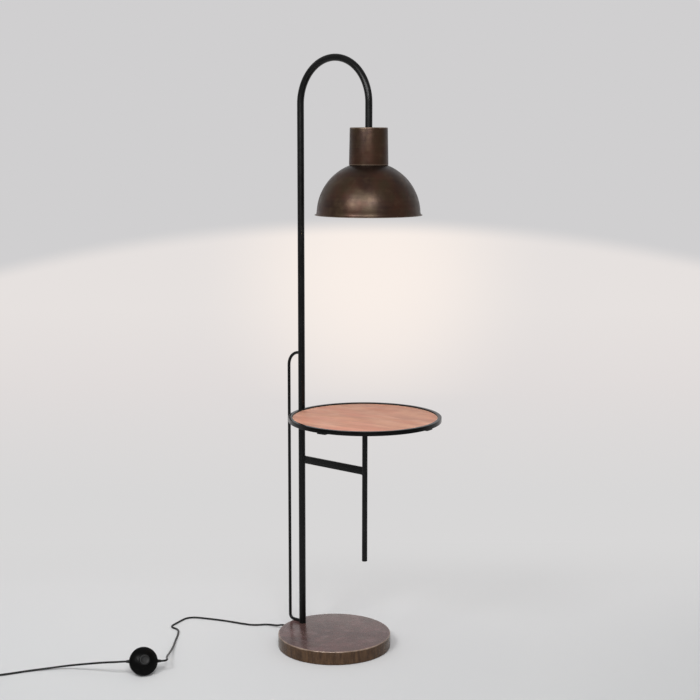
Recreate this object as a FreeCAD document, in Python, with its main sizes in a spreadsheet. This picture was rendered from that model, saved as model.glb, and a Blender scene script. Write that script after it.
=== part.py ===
import FreeCAD, Part
import math
import os
import re

import Sketcher
from FreeCAD import Placement, Rotation, Vector

# A floor lamp with a small round table, in millimetres and degrees. The origin is the centre of the
# base's underside, on the floor. +Z is up. The lamp hooks over in the XZ plane: the pole stands on
# the -X side of the base, and the shade and the table hang on the +X side of it.

SIZES = {
    # base: a spun steel cover over a cast disc, closed from below by a plate and a soft pad
    "base_radius": 150.0,
    "base_height": 36.0,
    "base_wall": 1.5,
    "base_edge_round": 1.2,
    "base_floor_gap": 1.0,
    "pad_thickness": 3.0,
    "pad_inset": 4.0,
    "plate_thickness": 1.5,
    "plate_inset": 3.0,
    "weight_thickness": 12.0,
    "weight_gap": 0.5,
    "boss_circle_radius": 120.0,
    "boss_radius": 7.0,
    "plate_screw_radius": 2.4,
    "plate_screw_length": 12.0,
    "plate_screw_head_radius": 4.5,
    "plate_screw_head": 1.8,
    "stud_circle_radius": 75.0,
    "stud_radius": 3.0,
    "stud_nut_height": 5.0,
    "stud_nut_flats": 10.0,
    # fits between rigid pieces that are clamped or screwed together
    "screw_clearance": 0.15,
    "slip_gap": 0.1,
    "seat_gap": 0.3,
    # pole: a steel tube in two lengths, the upper one bent over into the arm
    "pole_radius": 9.0,
    "pole_wall": 1.5,
    "pole_offset": 115.0,
    "arm_radius": 115.0,
    "arm_drop": 60.5,
    "seam_height": 850.0,
    "seam_gap": 0.2,
    "coupler_length": 60.0,
    "insert_depth": 30.0,
    "insert_thread_radius": 6.0,
    "insert_bore": 3.3,
    "pole_washer_radius": 14.0,
    "pole_washer_thickness": 1.6,
    "pole_nut_flats": 18.0,
    "pole_nut_height": 6.0,
    # bow: a thin round rod bent into a long flat loop behind the pole and welded to it
    "bow_radius": 4.0,
    "bow_offset": 45.5,
    "bow_top_height": 782.0,
    "bow_top_bend": 36.0,
    "bow_foot_bend": 12.0,
    # bracket: one flat bar on edge between the pole and the table's stem
    "bracket_height": 494.0,
    "bracket_depth": 20.0,
    "bracket_thickness": 6.0,
    "weld_gap": 0.05,
    # table: a stem, a cross of two flat bars, a rim and a round wooden top
    "table_offset": 105.0,
    "table_radius": 197.0,
    "table_top_height": 639.0,
    "rim_width": 10.0,
    "rim_height": 11.0,
    "wood_recess": 3.0,
    "wood_gap": 0.3,
    "cross_width": 25.0,
    "cross_thickness": 3.0,
    "cross_inset": 2.0,
    "cross_turn": 6.2,
    "table_screw_circle_radius": 140.0,
    "table_screw_radius": 2.0,
    "table_screw_bite": 6.0,
    "table_screw_head_radius": 4.0,
    "table_screw_head": 1.8,
    "stem_radius": 7.0,
    "stem_wall": 1.2,
    "stem_foot_height": 254.0,
    "stem_cap_thickness": 2.0,
    "stem_cap_spigot": 8.0,
    # shade: a spun half sphere with a turned-out rim, under a plain round cup that hides the holder
    "shade_radius": 130.5,
    "shade_centre_drop": 214.9,
    "shade_wall": 1.0,
    "shade_flat_drop": 3.0,
    "shade_hole_radius": 20.6,
    "rim_flange": 5.0,
    "rim_flange_thickness": 2.8,
    "neck_top_radius": 47.5,
    "neck_foot_radius": 49.4,
    "neck_top_height": 1372.5,
    "neck_length": 92.9,
    "neck_wall": 1.2,
    "neck_edge": 1.0,
    # lamp holder, hung on a hollow nipple in the end of the arm
    "nipple_radius": 5.0,
    "nipple_bore": 3.4,
    "nipple_reach": 14.0,
    "end_plug_length": 22.0,
    "neck_washer_radius": 12.0,
    "neck_washer_thickness": 1.2,
    "neck_nut_flats": 14.0,
    "neck_nut_height": 4.0,
    "holder_mouth_drop": 110.5,
    "holder_body_length": 46.0,
    "holder_cap_length": 18.0,
    "holder_collar_length": 6.0,
    "holder_collar_radius": 8.0,
    "holder_radius": 20.0,
    "holder_bore": 14.2,
    "holder_wall": 2.0,
    "shade_ring_radius": 25.0,
    "shade_ring_height": 5.0,
    "contact_disc_radius": 13.9,
    "contact_disc_thickness": 9.0,
    "centre_contact_radius": 2.5,
    # bulb: a standard screw bulb with a 27 mm cap
    "bulb_cap_radius": 13.1,
    "bulb_cap_length": 24.0,
    "bulb_tip_radius": 5.0,
    "bulb_tip_length": 2.0,
    "bulb_radius": 30.0,
    "bulb_length": 108.0,
    "bulb_glass_wall": 1.0,
    "bulb_collar_gap": 1.0,
    # wiring inside the lamp
    "inner_cable_radius": 2.5,
    "inner_cable_foot_bend": 5.4,
    "terminal_x": -75.0,
    "terminal_depth": 18.0,
    "terminal_width": 38.0,
    "terminal_shift": 11.0,
    "terminal_height": 16.0,
    "terminal_screw_radius": 2.0,
    "terminal_screw_length": 5.0,
    "cord_port_height": 13.0,
    "mains_tail_shift": 20.0,
    # cord and its glands
    "cord_radius": 2.6,
    "floor_gap": 0.1,
    "gland_neck_radius": 4.2,
    "gland_collar_radius": 6.0,
    "gland_collar": 2.0,
    "gland_flange": 1.8,
    "gland_length": 27.0,
    "gland_tip_radius": 3.3,
    "gland_lead": 12.0,
    # foot switch, standing tilted on the edge of its underside
    "switch_x": -233.7,
    "switch_y": -470.6,
    "switch_azimuth": -31.0,
    "switch_elevation": 29.5,
    "switch_roll": -5.5,
    "switch_radius": 36.0,
    "switch_base_height": 8.0,
    "switch_height": 25.0,
    "switch_dome_radius": 48.4,
    "switch_wall": 2.0,
    "switch_sleeve_step": 0.4,
    "switch_lead_out": 8.0,
    "switch_screw_sink": 1.0,
    "switch_boss_circle_radius": 26.0,
    "switch_boss_radius": 3.8,
    "switch_screw_radius": 1.4,
    "switch_screw_head_radius": 2.7,
    "switch_screw_head": 1.8,
    "switch_screw_length": 12.0,
    "button_radius": 13.0,
    "button_gap": 0.3,
    "button_proud": 4.5,
    "button_wall": 2.0,
    "button_flange": 2.0,
    "button_flange_sink": 0.4,
    "button_flange_thickness": 2.0,
    "button_travel": 3.0,
    "button_edge": 1.5,
    "button_post_radius": 2.6,
    "contact_block_length": 26.0,
    "contact_block_width": 18.0,
    "contact_block_height": 10.0,
    "contact_bore_depth": 6.0,
    "spring_radius": 6.0,
    "spring_wire": 0.6,
    "spring_turns": 5.0,
    "port_flange_radius": 5.0,
    "port_flange_thickness": 1.8,
    "port_flange_place": 29.0,
    "port_neck_radius": 3.9,
    "port_sleeve_reach": 8.0,
    "clamp_width": 10.0,
    "clamp_depth": 4.0,
    "clamp_height": 11.5,
    "clamp_place": 22.0,
    # coil of the rest of the cord, its tie, and the plug
    "coil_start_x": -520.0,
    "coil_start_y": -765.0,
    "coil_heading": -120.0,
    "coil_inner_radius": 22.5,
    "coil_pitch": 6.2,
    "coil_layer": 5.9,
    "coil_turns": 5.25,
    "coil_lead_in": 30.0,
    "coil_lead_out": 36.0,
    "tie_width": 6.0,
    "tie_thickness": 0.7,
    "tie_gap": 0.5,
    "plug_half_height": 7.0,
    "plug_half_width": 17.6,
    "plug_length": 32.0,
    "plug_relief_length": 20.0,
    "plug_relief_radius": 5.0,
    "plug_waist": 3.0,
    "plug_waist_radius": 20.0,
    "pin_radius": 2.0,
    "pin_length": 19.0,
    "pin_bite": 8.0,
    "pin_spacing": 18.6,
}

# The cord's free route, chosen by hand: x, y and the height of its axis over its resting height.
ROUTE_BASE_TO_SWITCH = [
    (-209, -3, 3.8), (-243, -4, 0), (-268, -36, 0), (-301, -47, 0), (-357, -62, 0),
    (-403, -80, 0), (-457, -105, 0), (-444, -162, 0), (-434, -197, 0), (-401, -194, 0),
    (-370, -226, 0), (-343, -260, 0), (-309, -299, 2.3), (-267, -348, 11.3), (-228, -397, 21.3),
    (-199, -419, 27.5),
]
ROUTE_SWITCH_TO_COIL = [
    (-272, -528, 34.8), (-305, -540, 29), (-358, -560, 17.3), (-400, -579, 8.3), (-435, -609, 1.8),
    (-463, -650, 0), (-485, -697, 0),
]

# Bends of the cord's tail under the base: x from the gland's inner face, and y.
TAIL_BENDS = [(12, 0), (12, 19), (25, 34), (47, 35), (57, 20)]

SHEET_NAME = "Sizes"
RUN_SHARE = 0.45  # of the shorter run beside a corner that its arc may take
BOSSES = 3
STUDS = 2
TABLE_SCREWS = 4
SWITCH_SCREWS = 3
FULL_TURN = 360.0
QUARTER = 90.0
HALF_TURN = 180.0
QUARTERS_PER_TURN = 4
VOLUME_TOLERANCE = 1e-3
PARALLEL = 1e-9
COIL_STEPS = 700
SPRING_STEPS = 200
TIE_TURN = 100.0  # degrees round the coil from the heading of the cord that comes in

X_AXIS, Y_AXIS, Z_AXIS = Vector(1, 0, 0), Vector(0, 1, 0), Vector(0, 0, 1)
ORIGIN = Vector(0, 0, 0)
# A solid made along +Z is turned by these to lie along +X or +Y.
ALONG = {
    "x": Rotation(Y_AXIS, QUARTER),
    "y": Rotation(X_AXIS, -QUARTER),
    "z": Rotation(),
}

doc = FreeCAD.newDocument("FloorLampWithTable")
sheet = doc.addObject("Spreadsheet::Sheet", SHEET_NAME)
nodes = []


def fill_sheet():
    """Puts each size in a cell of its own, with its name as the cell's alias."""
    for row, (alias, number) in enumerate(SIZES.items(), start=1):
        sheet.set(f"A{row}", alias)
        sheet.set(f"B{row}", str(number))
        sheet.setAlias(f"B{row}", alias)
    doc.recompute()


def size(alias):
    """A size from the sheet, as a number."""
    return float(sheet.get(alias))


def formula(text):
    """The text of an expression on the sheet's sizes, with each size's name led by the sheet's."""
    words = re.sub(r"[a-z]\w*", lambda m: f"{SHEET_NAME}.{m.group()}" if m.group() in SIZES else m.group(), text)
    return words


def value(text):
    """What an expression on the sheet's sizes comes to."""
    return float(sheet.evalExpression(formula(text)))


def bind(thing, expressions):
    """Binds properties of an object to expressions on the sheet's sizes."""
    for prop, text in expressions.items():
        thing.setExpression(prop, formula(text))


def place(thing, x, y, z):
    """Binds the coordinates of an object's place that aren't nought, and leaves its rotation."""
    for axis, text in (("x", x), ("y", y), ("z", z)):
        if text != "0":
            bind(thing, {f"Placement.Base.{axis}": text})


def node(thing, name):
    """Makes an object one of the named pieces that are written to parts/."""
    thing.Label = name
    nodes.append(thing)
    return thing


# ------------------------------------------------------------------ solids from primitives

def bar(name, radius, length, x="0", y="0", z="0", along="z"):
    """A round bar that starts at a point and runs along an axis."""
    solid = doc.addObject("Part::Cylinder", name)
    bind(solid, {"Radius": radius, "Height": length})
    solid.Placement = Placement(ORIGIN, ALONG[along])
    place(solid, x, y, z)
    return solid


def cone(name, radius, end_radius, length, x="0", y="0", z="0", along="z"):
    """A tapered round bar that starts at a point and runs along an axis."""
    solid = doc.addObject("Part::Cone", name)
    bind(solid, {"Radius1": radius, "Radius2": end_radius, "Height": length})
    solid.Placement = Placement(ORIGIN, ALONG[along])
    place(solid, x, y, z)
    return solid


def ball(name, radius, x="0", y="0", z="0"):
    """A sphere about a point."""
    solid = doc.addObject("Part::Sphere", name)
    bind(solid, {"Radius": radius})
    place(solid, x, y, z)
    return solid


def block(name, length, width, height, x="0", y="0", z="0"):
    """A box from its lowest corner."""
    solid = doc.addObject("Part::Box", name)
    bind(solid, {"Length": length, "Width": width, "Height": height})
    place(solid, x, y, z)
    return solid


def elbow(name, bend, radius, start, sweep, x="0", y="0", z="0"):
    """A bent round bar in the XZ plane: start is the angle of its first end seen from the bend's centre."""
    solid = doc.addObject("Part::Torus", name)
    bind(solid, {"Radius1": bend, "Radius2": radius})
    solid.Angle3 = sweep
    solid.Placement = Placement(ORIGIN, Rotation(X_AXIS, QUARTER) * Rotation(Z_AXIS, start))
    place(solid, x, y, z)
    return solid


def hexagon(name, flats, height, z="0", x="0", y="0"):
    """A hexagonal nut blank across its flats."""
    solid = doc.addObject("Part::Prism", name)
    solid.Polygon = 6
    bind(solid, {"Circumradius": f"({flats}) / 2 / cos(30deg)", "Height": height})
    place(solid, x, y, z)
    return solid


def cut(name, base, *tools):
    """One solid less the others."""
    less = doc.addObject("Part::Cut", name)
    less.Base = base
    less.Tool = tools[0] if len(tools) == 1 else joined(name + "_cutters", *tools)
    return less


def joined(name, *solids):
    """Several solids as one."""
    whole = doc.addObject("Part::MultiFuse", name)
    whole.Shapes = list(solids)
    return whole


def shared(name, *solids):
    """What several solids have in common."""
    common = doc.addObject("Part::MultiCommon", name)
    common.Shapes = list(solids)
    return common


def both_sides(name, solid):
    """A piece and its twin on the other side of the YZ plane."""
    twin = doc.addObject("Part::Mirroring", name + "_twin")
    twin.Source = solid
    twin.Normal = X_AXIS
    return group(name, [solid, twin])


def group(name, solids):
    """Equal pieces that stay separate solids under one name."""
    several = doc.addObject("Part::Compound", name)
    several.Links = list(solids)
    return several


def pipe(name, outer, inner, length, x="0", y="0", z="0", along="z"):
    """A straight tube."""
    skin = bar(name + "_outside", outer, length, x, y, z, along)
    return cut(name, skin, bar(name + "_bore", inner, length, x, y, z, along))


def around(count, circle, angle=0.0):
    """Points on a circle about the Z axis, as expressions, with the sheet's own radius."""
    for index in range(count):
        turn = math.radians(angle + FULL_TURN * index / count)
        yield index, f"({circle}) * {math.cos(turn):.9f}", f"({circle}) * {math.sin(turn):.9f}"


# ------------------------------------------------------------------ turned pieces

def draw_outline(sketch, corners):
    """Draws a closed outline of straight lines whose corners are measured from the two axes."""
    spots = [(value(radius), value(height)) for radius, height in corners]
    for index, spot in enumerate(spots):
        after = spots[(index + 1) % len(spots)]
        sketch.addGeometry(Part.LineSegment(Vector(*spot, 0), Vector(*after, 0)), False)
    for index, (radius, height) in enumerate(corners):
        sketch.addConstraint(Sketcher.Constraint("Coincident", index, 2, (index + 1) % len(corners), 1))
        for kind, axis, text, number in (
            ("DistanceX", -2, radius, spots[index][0]),
            ("DistanceY", -1, height, spots[index][1]),
        ):
            if number == 0:
                sketch.addConstraint(Sketcher.Constraint("PointOnObject", index, 1, axis))
                continue
            rule = sketch.addConstraint(Sketcher.Constraint(kind, -1, 1, index, 1, number))
            sketch.setExpression(f"Constraints[{rule}]", formula(text))


def turned(name, corners, x="0", y="0", z="0"):
    """A body turned about a vertical axis from an outline of (radius, height) corners."""
    body = doc.addObject("PartDesign::Body", name)
    sketch = body.newObject("Sketcher::SketchObject", name + "_outline")
    plane = [part for part in body.Origin.OriginFeatures if part.Role == "XZ_Plane"][0]
    sketch.AttachmentSupport = [(plane, "")]
    sketch.MapMode = "FlatFace"
    draw_outline(sketch, corners)
    turn = body.newObject("PartDesign::Revolution", name + "_turn")
    turn.Profile = sketch
    turn.ReferenceAxis = (sketch, ["V_Axis"])
    turn.Angle = FULL_TURN
    body.Tip = turn
    place(body, x, y, z)
    return body


def round_rims(body, radius, circles):
    """Rounds a turned body's circular edges at the given (radius, height) pairs."""
    doc.recompute()
    base = body.Tip
    found = []
    for index, edge in enumerate(base.Shape.Edges, start=1):
        if not isinstance(edge.Curve, Part.Circle):
            continue
        for ring, height in circles:
            flush = abs(edge.Curve.Center.z - value(height)) < 1e-6
            if flush and abs(edge.Curve.Radius - value(ring)) < 1e-6:
                found.append(f"Edge{index}")
    fillet = body.newObject("PartDesign::Fillet", body.Name + "_round")
    fillet.Base = (base, found)
    bind(fillet, {"Radius": radius})
    body.Tip = fillet
    return body


# ------------------------------------------------------------------ tubes along a route

def arc_through(start, corner, end):
    """The arc that leaves start towards corner and comes from corner to end, both the same way off."""
    middle = (start + end) * 0.5
    half = (end - start).Length / 2
    bend = math.acos(min(1.0, half / (corner - start).Length))
    top = corner - middle
    top.normalize()
    return Part.Arc(start, middle + top * (half * math.tan(bend / 2)), end)


def rounded_route(points, share=RUN_SHARE):
    """Straight runs joined by tangent arcs, with the radius of each arc."""
    edges, radii, last = [], [], points[0]
    for before, corner, after in zip(points, points[1:], points[2:]):
        back, ahead = before - corner, after - corner
        reach = share * min(back.Length, ahead.Length)
        turn = math.pi - back.getAngle(ahead)
        start = corner + back.normalize() * reach
        end = corner + ahead.normalize() * reach
        edges.append(Part.LineSegment(last, start).toShape())
        edges.append(arc_through(start, corner, end).toShape())
        radii.append(reach / math.tan(turn / 2))
        last = end
    edges.append(Part.LineSegment(last, points[-1]).toShape())
    return edges, radii


def swept(name, edges, radius):
    """A round solid along tangent edges, as a feature of its own, with its volume compared."""
    path = Part.Wire(edges)
    first = edges[0]
    ring = Part.Wire([Part.Circle(first.valueAt(first.FirstParameter),
                                  first.tangentAt(first.FirstParameter), radius).toShape()])
    solid = path.makePipeShell([ring], True, False)
    expected = math.pi * radius ** 2 * path.Length
    if abs(solid.Volume / expected - 1) > VOLUME_TOLERANCE:
        raise ValueError(f"{name}: volume {solid.Volume:.1f}, expected {expected:.1f}")
    feature = doc.addObject("Part::Feature", name)
    feature.Shape = solid
    print(f"{name}: length {path.Length:.1f}")
    return feature


def biarc(start, start_way, end, end_way):
    """Two tangent arcs between two points with given directions."""
    gap = end - start
    both = start_way + end_way
    bend = 2 * (1 - start_way.dot(end_way))
    lean = gap.dot(both)
    if bend < PARALLEL:
        reach = gap.dot(gap) / (2 * lean)
    else:
        reach = (-lean + math.sqrt(lean ** 2 + bend * gap.dot(gap))) / bend
    first, second = start + start_way * reach, end - end_way * reach
    joint = (first + second) * 0.5
    return [arc_through(start, first, joint).toShape(), arc_through(joint, second, end).toShape()]


def least_gap(points, near, radius):
    """The least clear distance between stretches of a round wire that are not neighbours."""
    least = min(
        (points[i] - points[j]).Length
        for i in range(len(points))
        for j in range(i + near, len(points))
    )
    return least - 2 * radius


def wound(name, stations, radius, steps):
    """A round wire along (point, direction) stations, with its gap to itself measured."""
    edges = []
    for (start, way), (end, end_way) in zip(stations, stations[1:]):
        straight = way.getAngle(end - start) < 1e-6 and way.getAngle(end_way) < 1e-6
        edges += [Part.LineSegment(start, end).toShape()] if straight else biarc(start, way, end, end_way)
    points = Part.Wire(edges).discretize(steps)
    step = Part.Wire(edges).Length / (steps - 1)
    gap = least_gap(points, int(6 * radius / step) + 1, radius)
    print(f"{name}: least gap to itself {gap:.2f}")
    return swept(name, edges, radius)


# ------------------------------------------------------------------ the base

def build_base():
    """Cover, cast weight, bottom plate, pad and their fasteners."""
    underside = "base_height - base_wall"
    weight_foot = f"{underside} - weight_thickness"
    plate_foot = "pad_thickness"
    plate_top = "pad_thickness + plate_thickness"

    cover = turned("cover_shell", [
        ("0", "base_height"),
        ("base_radius", "base_height"),
        ("base_radius", "base_floor_gap"),
        ("base_radius - base_wall", "base_floor_gap"),
        ("base_radius - base_wall", underside),
        ("0", underside),
    ])
    round_rims(cover, "base_edge_round", [("base_radius", "base_height")])
    pole_hole = bar("cover_pole_hole", "insert_thread_radius + screw_clearance", "base_height",
                    x="-pole_offset")
    port = bar("cover_port", "gland_neck_radius + slip_gap", "4 * base_wall",
               x="-base_radius - base_wall", z="cord_port_height", along="x")
    node(cut("base_cover", cover, pole_hole, port), "base_cover")

    disc = bar("weight_disc", "base_radius - base_wall - weight_gap", "weight_thickness", z=weight_foot)
    bosses = [bar(f"weight_boss_{i}", "boss_radius", f"{weight_foot} - ({plate_top})", x, y, plate_top)
              for i, x, y in around(BOSSES, "boss_circle_radius")]
    taps = [bar(f"weight_tap_{i}", "plate_screw_radius + slip_gap", "plate_screw_length", x, y, plate_top)
            for i, x, y in around(BOSSES, "boss_circle_radius")]
    stud_holes = [bar(f"weight_stud_hole_{i}", "stud_radius + screw_clearance", "base_height", x, y)
                  for i, x, y in around(STUDS, "stud_circle_radius", QUARTER)]
    stem_hole = bar("weight_pole_hole", "insert_thread_radius + screw_clearance", "base_height",
                    x="-pole_offset")
    node(cut("base_weight", joined("weight_casting", disc, *bosses), *taps, *stud_holes, stem_hole),
         "base_weight")

    holes = [bar(f"plate_hole_{i}", "plate_screw_radius + screw_clearance", "plate_thickness", x, y,
                 plate_foot) for i, x, y in around(BOSSES, "boss_circle_radius")]
    node(cut("bottom_plate", bar("plate_disc", "base_radius - plate_inset", "plate_thickness",
                                 z=plate_foot), *holes), "bottom_plate")
    pits = [bar(f"pad_hole_{i}", "plate_screw_head_radius + 1", "pad_thickness", x, y)
            for i, x, y in around(BOSSES, "boss_circle_radius")]
    node(cut("floor_pad", bar("pad_disc", "base_radius - pad_inset", "pad_thickness"), *pits), "floor_pad")

    screws = []
    for i, x, y in around(BOSSES, "boss_circle_radius"):
        head = bar(f"plate_screw_head_{i}", "plate_screw_head_radius", "plate_screw_head", x, y,
                   f"{plate_foot} - plate_screw_head")
        shank = bar(f"plate_screw_shank_{i}", "plate_screw_radius", "plate_screw_length", x, y, plate_foot)
        screws.append(joined(f"plate_screw_{i}", head, shank))
    node(group("plate_screws", screws), "plate_screws")

    studs, nuts = [], []
    stud_length = "weight_thickness + stud_nut_height + 1"
    for i, x, y in around(STUDS, "stud_circle_radius", QUARTER):
        studs.append(bar(f"cover_stud_{i}", "stud_radius", stud_length, x, y, f"{underside} - ({stud_length})"))
        blank = hexagon(f"stud_nut_blank_{i}", "stud_nut_flats", "stud_nut_height",
                        f"{weight_foot} - stud_nut_height", x, y)
        bore = bar(f"stud_nut_bore_{i}", "stud_radius + slip_gap", "base_height", x, y)
        nuts.append(cut(f"stud_nut_{i}", blank, bore))
    node(group("cover_studs", studs), "cover_studs")
    node(group("stud_nuts", nuts), "stud_nuts")

    washer_foot = f"{weight_foot} - pole_washer_thickness"
    node(pipe("pole_washer", "pole_washer_radius", "insert_thread_radius + slip_gap",
              "pole_washer_thickness", "-pole_offset", "0", washer_foot), "pole_washer")
    nut_foot = f"{washer_foot} - pole_nut_height"
    nut = hexagon("pole_nut_blank", "pole_nut_flats", "pole_nut_height", nut_foot, "-pole_offset")
    thread = bar("pole_nut_bore", "insert_thread_radius + slip_gap", "base_height", "-pole_offset")
    node(cut("pole_nut", nut, thread), "pole_nut")


# ------------------------------------------------------------------ the pole

def build_pole():
    """Threaded foot, both lengths of tube, their coupler and the bow rod."""
    bore = "pole_radius - pole_wall"
    foot = "base_height - base_wall - weight_thickness - pole_washer_thickness - pole_nut_height - 0.5"
    spigot = bar("insert_spigot", f"{bore} - slip_gap", "insert_depth", "-pole_offset", "0", "base_height")
    thread = bar("insert_thread", "insert_thread_radius", f"base_height - ({foot})", "-pole_offset", "0", foot)
    hollow = bar("insert_hollow", "insert_bore", "base_height + insert_depth", "-pole_offset")
    node(cut("pole_foot_insert", joined("insert_turning", spigot, thread), hollow), "pole_foot_insert")

    node(pipe("lower_pole", "pole_radius", bore, "seam_height - seam_gap / 2 - base_height",
              "-pole_offset", "0", "base_height"), "lower_pole")
    node(pipe("pole_coupler", f"{bore} - slip_gap", "insert_bore", "coupler_length",
              "-pole_offset", "0", "seam_height - coupler_length / 2"), "pole_coupler")

    drop_x = "arm_radius * 2 - pole_offset"
    parts = {}
    for kind, radius in (("outside", "pole_radius"), ("bore", bore)):
        rise = bar(f"arm_rise_{kind}", radius, "neck_top_height + arm_drop - seam_height - seam_gap / 2",
                   "-pole_offset", "0", "seam_height + seam_gap / 2")
        hook = elbow(f"arm_hook_{kind}", "arm_radius", radius, 0, HALF_TURN,
                     "arm_radius - pole_offset", "0", "neck_top_height + arm_drop")
        drop = bar(f"arm_drop_{kind}", radius, "arm_drop", drop_x, "0",
                   "neck_top_height")
        parts[kind] = joined(f"arm_{kind}", rise, hook, drop)
    node(cut("upper_pole", parts["outside"], parts["bore"]), "upper_pole")

    bow_x = "-pole_offset - bow_offset"
    foot_z = "base_height + bow_radius + slip_gap"
    to_pole = "-pole_offset - pole_radius + pole_wall"
    top = bar("bow_top", "bow_radius", f"{to_pole} - ({bow_x}) - bow_top_bend", f"{bow_x} + bow_top_bend",
              "0", "bow_top_height", "x")
    shoulder = elbow("bow_shoulder", "bow_top_bend", "bow_radius", QUARTER, QUARTER,
                     f"{bow_x} + bow_top_bend", "0", "bow_top_height - bow_top_bend")
    upright = bar("bow_upright", "bow_radius", f"bow_top_height - bow_top_bend - ({foot_z}) - bow_foot_bend",
                  bow_x, "0", f"{foot_z} + bow_foot_bend")
    heel = elbow("bow_heel", "bow_foot_bend", "bow_radius", HALF_TURN, QUARTER,
                 f"{bow_x} + bow_foot_bend", "0", f"{foot_z} + bow_foot_bend")
    toe = bar("bow_toe", "bow_radius", f"{to_pole} - ({bow_x}) - bow_foot_bend", f"{bow_x} + bow_foot_bend",
              "0", foot_z, "x")
    bow = joined("bow_bar", top, shoulder, upright, heel, toe)
    node(cut("bow_rod", bow, bar("bow_fit", "pole_radius + weld_gap", "bow_top_height + 50",
                                 "-pole_offset")), "bow_rod")


# ------------------------------------------------------------------ the table

def build_table():
    """Bracket bar, stem, cross bars, rim, wooden top and its screws."""
    flat = block("bracket_flat", "pole_offset + table_offset", "bracket_thickness", "bracket_depth",
                 "-pole_offset", "-bracket_thickness / 2", "bracket_height - bracket_depth / 2")
    pole_fit = bar("bracket_pole_fit", "pole_radius + weld_gap", "bracket_height * 2", "-pole_offset")
    stem_fit = bar("bracket_stem_fit", "stem_radius + weld_gap", "bracket_height * 2", "table_offset")
    node(cut("bracket_bar", flat, pole_fit, stem_fit), "bracket_bar")

    cross_top = "table_top_height - rim_height"
    cross_foot = f"{cross_top} - cross_thickness"
    tube_foot = "stem_foot_height + stem_cap_thickness"
    node(pipe("table_stem", "stem_radius", "stem_radius - stem_wall", f"{cross_foot} - ({tube_foot})",
              "table_offset", "0", tube_foot), "table_stem")
    disc = bar("stem_cap_disc", "stem_radius", "stem_cap_thickness", "table_offset", "0", "stem_foot_height")
    spigot = bar("stem_cap_spigot_bar", "stem_radius - stem_wall - slip_gap", "stem_cap_spigot",
                 "table_offset", "0", tube_foot)
    node(joined("stem_cap", disc, spigot), "stem_cap")

    reach = "table_radius - cross_inset"
    screws = list(around(TABLE_SCREWS, "table_screw_circle_radius"))
    for name, turn, lap_foot in (
        ("cross_bar_long", 0.0, cross_foot),
        ("cross_bar_across", QUARTER, f"{cross_foot} + cross_thickness / 2"),
    ):
        strip = block(f"{name}_strip", f"2 * ({reach})", "cross_width", "cross_thickness",
                      f"-({reach})", "-cross_width / 2", cross_foot)
        lap = block(f"{name}_lap", "cross_width", "cross_width + 2", "cross_thickness / 2",
                    "-cross_width / 2", "-cross_width / 2 - 1", lap_foot)
        ends = bar(f"{name}_ends", reach, "table_top_height")
        holes = [bar(f"{name}_hole_{i}", "table_screw_radius + screw_clearance", "table_top_height", x, y)
                 for i, x, y in screws if i % 2 == 0]
        whole = cut(name, shared(f"{name}_cut_round", strip, ends), lap, *holes)
        whole.Placement = Placement(ORIGIN, Rotation(Z_AXIS, turn))
        place(whole, "table_offset", "0", "0")
        whole.setExpression("Placement.Rotation.Angle", formula(f"({turn} + cross_turn) * 1deg"))
        node(whole, name)

    node(turned("table_rim", [
        ("table_radius - rim_width", cross_top),
        ("table_radius", cross_top),
        ("table_radius", "table_top_height"),
        ("table_radius - rim_width", "table_top_height"),
    ], "table_offset"), "table_rim")

    wood = bar("wood_disc", "table_radius - rim_width - wood_gap", "rim_height - wood_recess", z=cross_top)
    pilots = [bar(f"wood_pilot_{i}", "table_screw_radius + slip_gap", "table_screw_bite", x, y, cross_top)
              for i, x, y in screws]
    top = cut("table_top", wood, *pilots)
    fixings = []
    for i, x, y in screws:
        head = bar(f"table_screw_head_{i}", "table_screw_head_radius", "table_screw_head", x, y,
                   f"{cross_foot} - table_screw_head")
        shank = bar(f"table_screw_shank_{i}", "table_screw_radius", "cross_thickness + table_screw_bite - 0.5",
                    x, y, cross_foot)
        fixings.append(joined(f"table_screw_{i}", head, shank))
    for turned_with, name in ((top, "table_top"), (group("table_screws", fixings), "table_screws")):
        turned_with.Placement = Placement(ORIGIN, Rotation(Z_AXIS, 1))
        place(turned_with, "table_offset", "0", "0")
        turned_with.setExpression("Placement.Rotation.Angle", formula("cross_turn * 1deg"))
        node(turned_with, name)


# ------------------------------------------------------------------ the shade and the lamp holder

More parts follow.
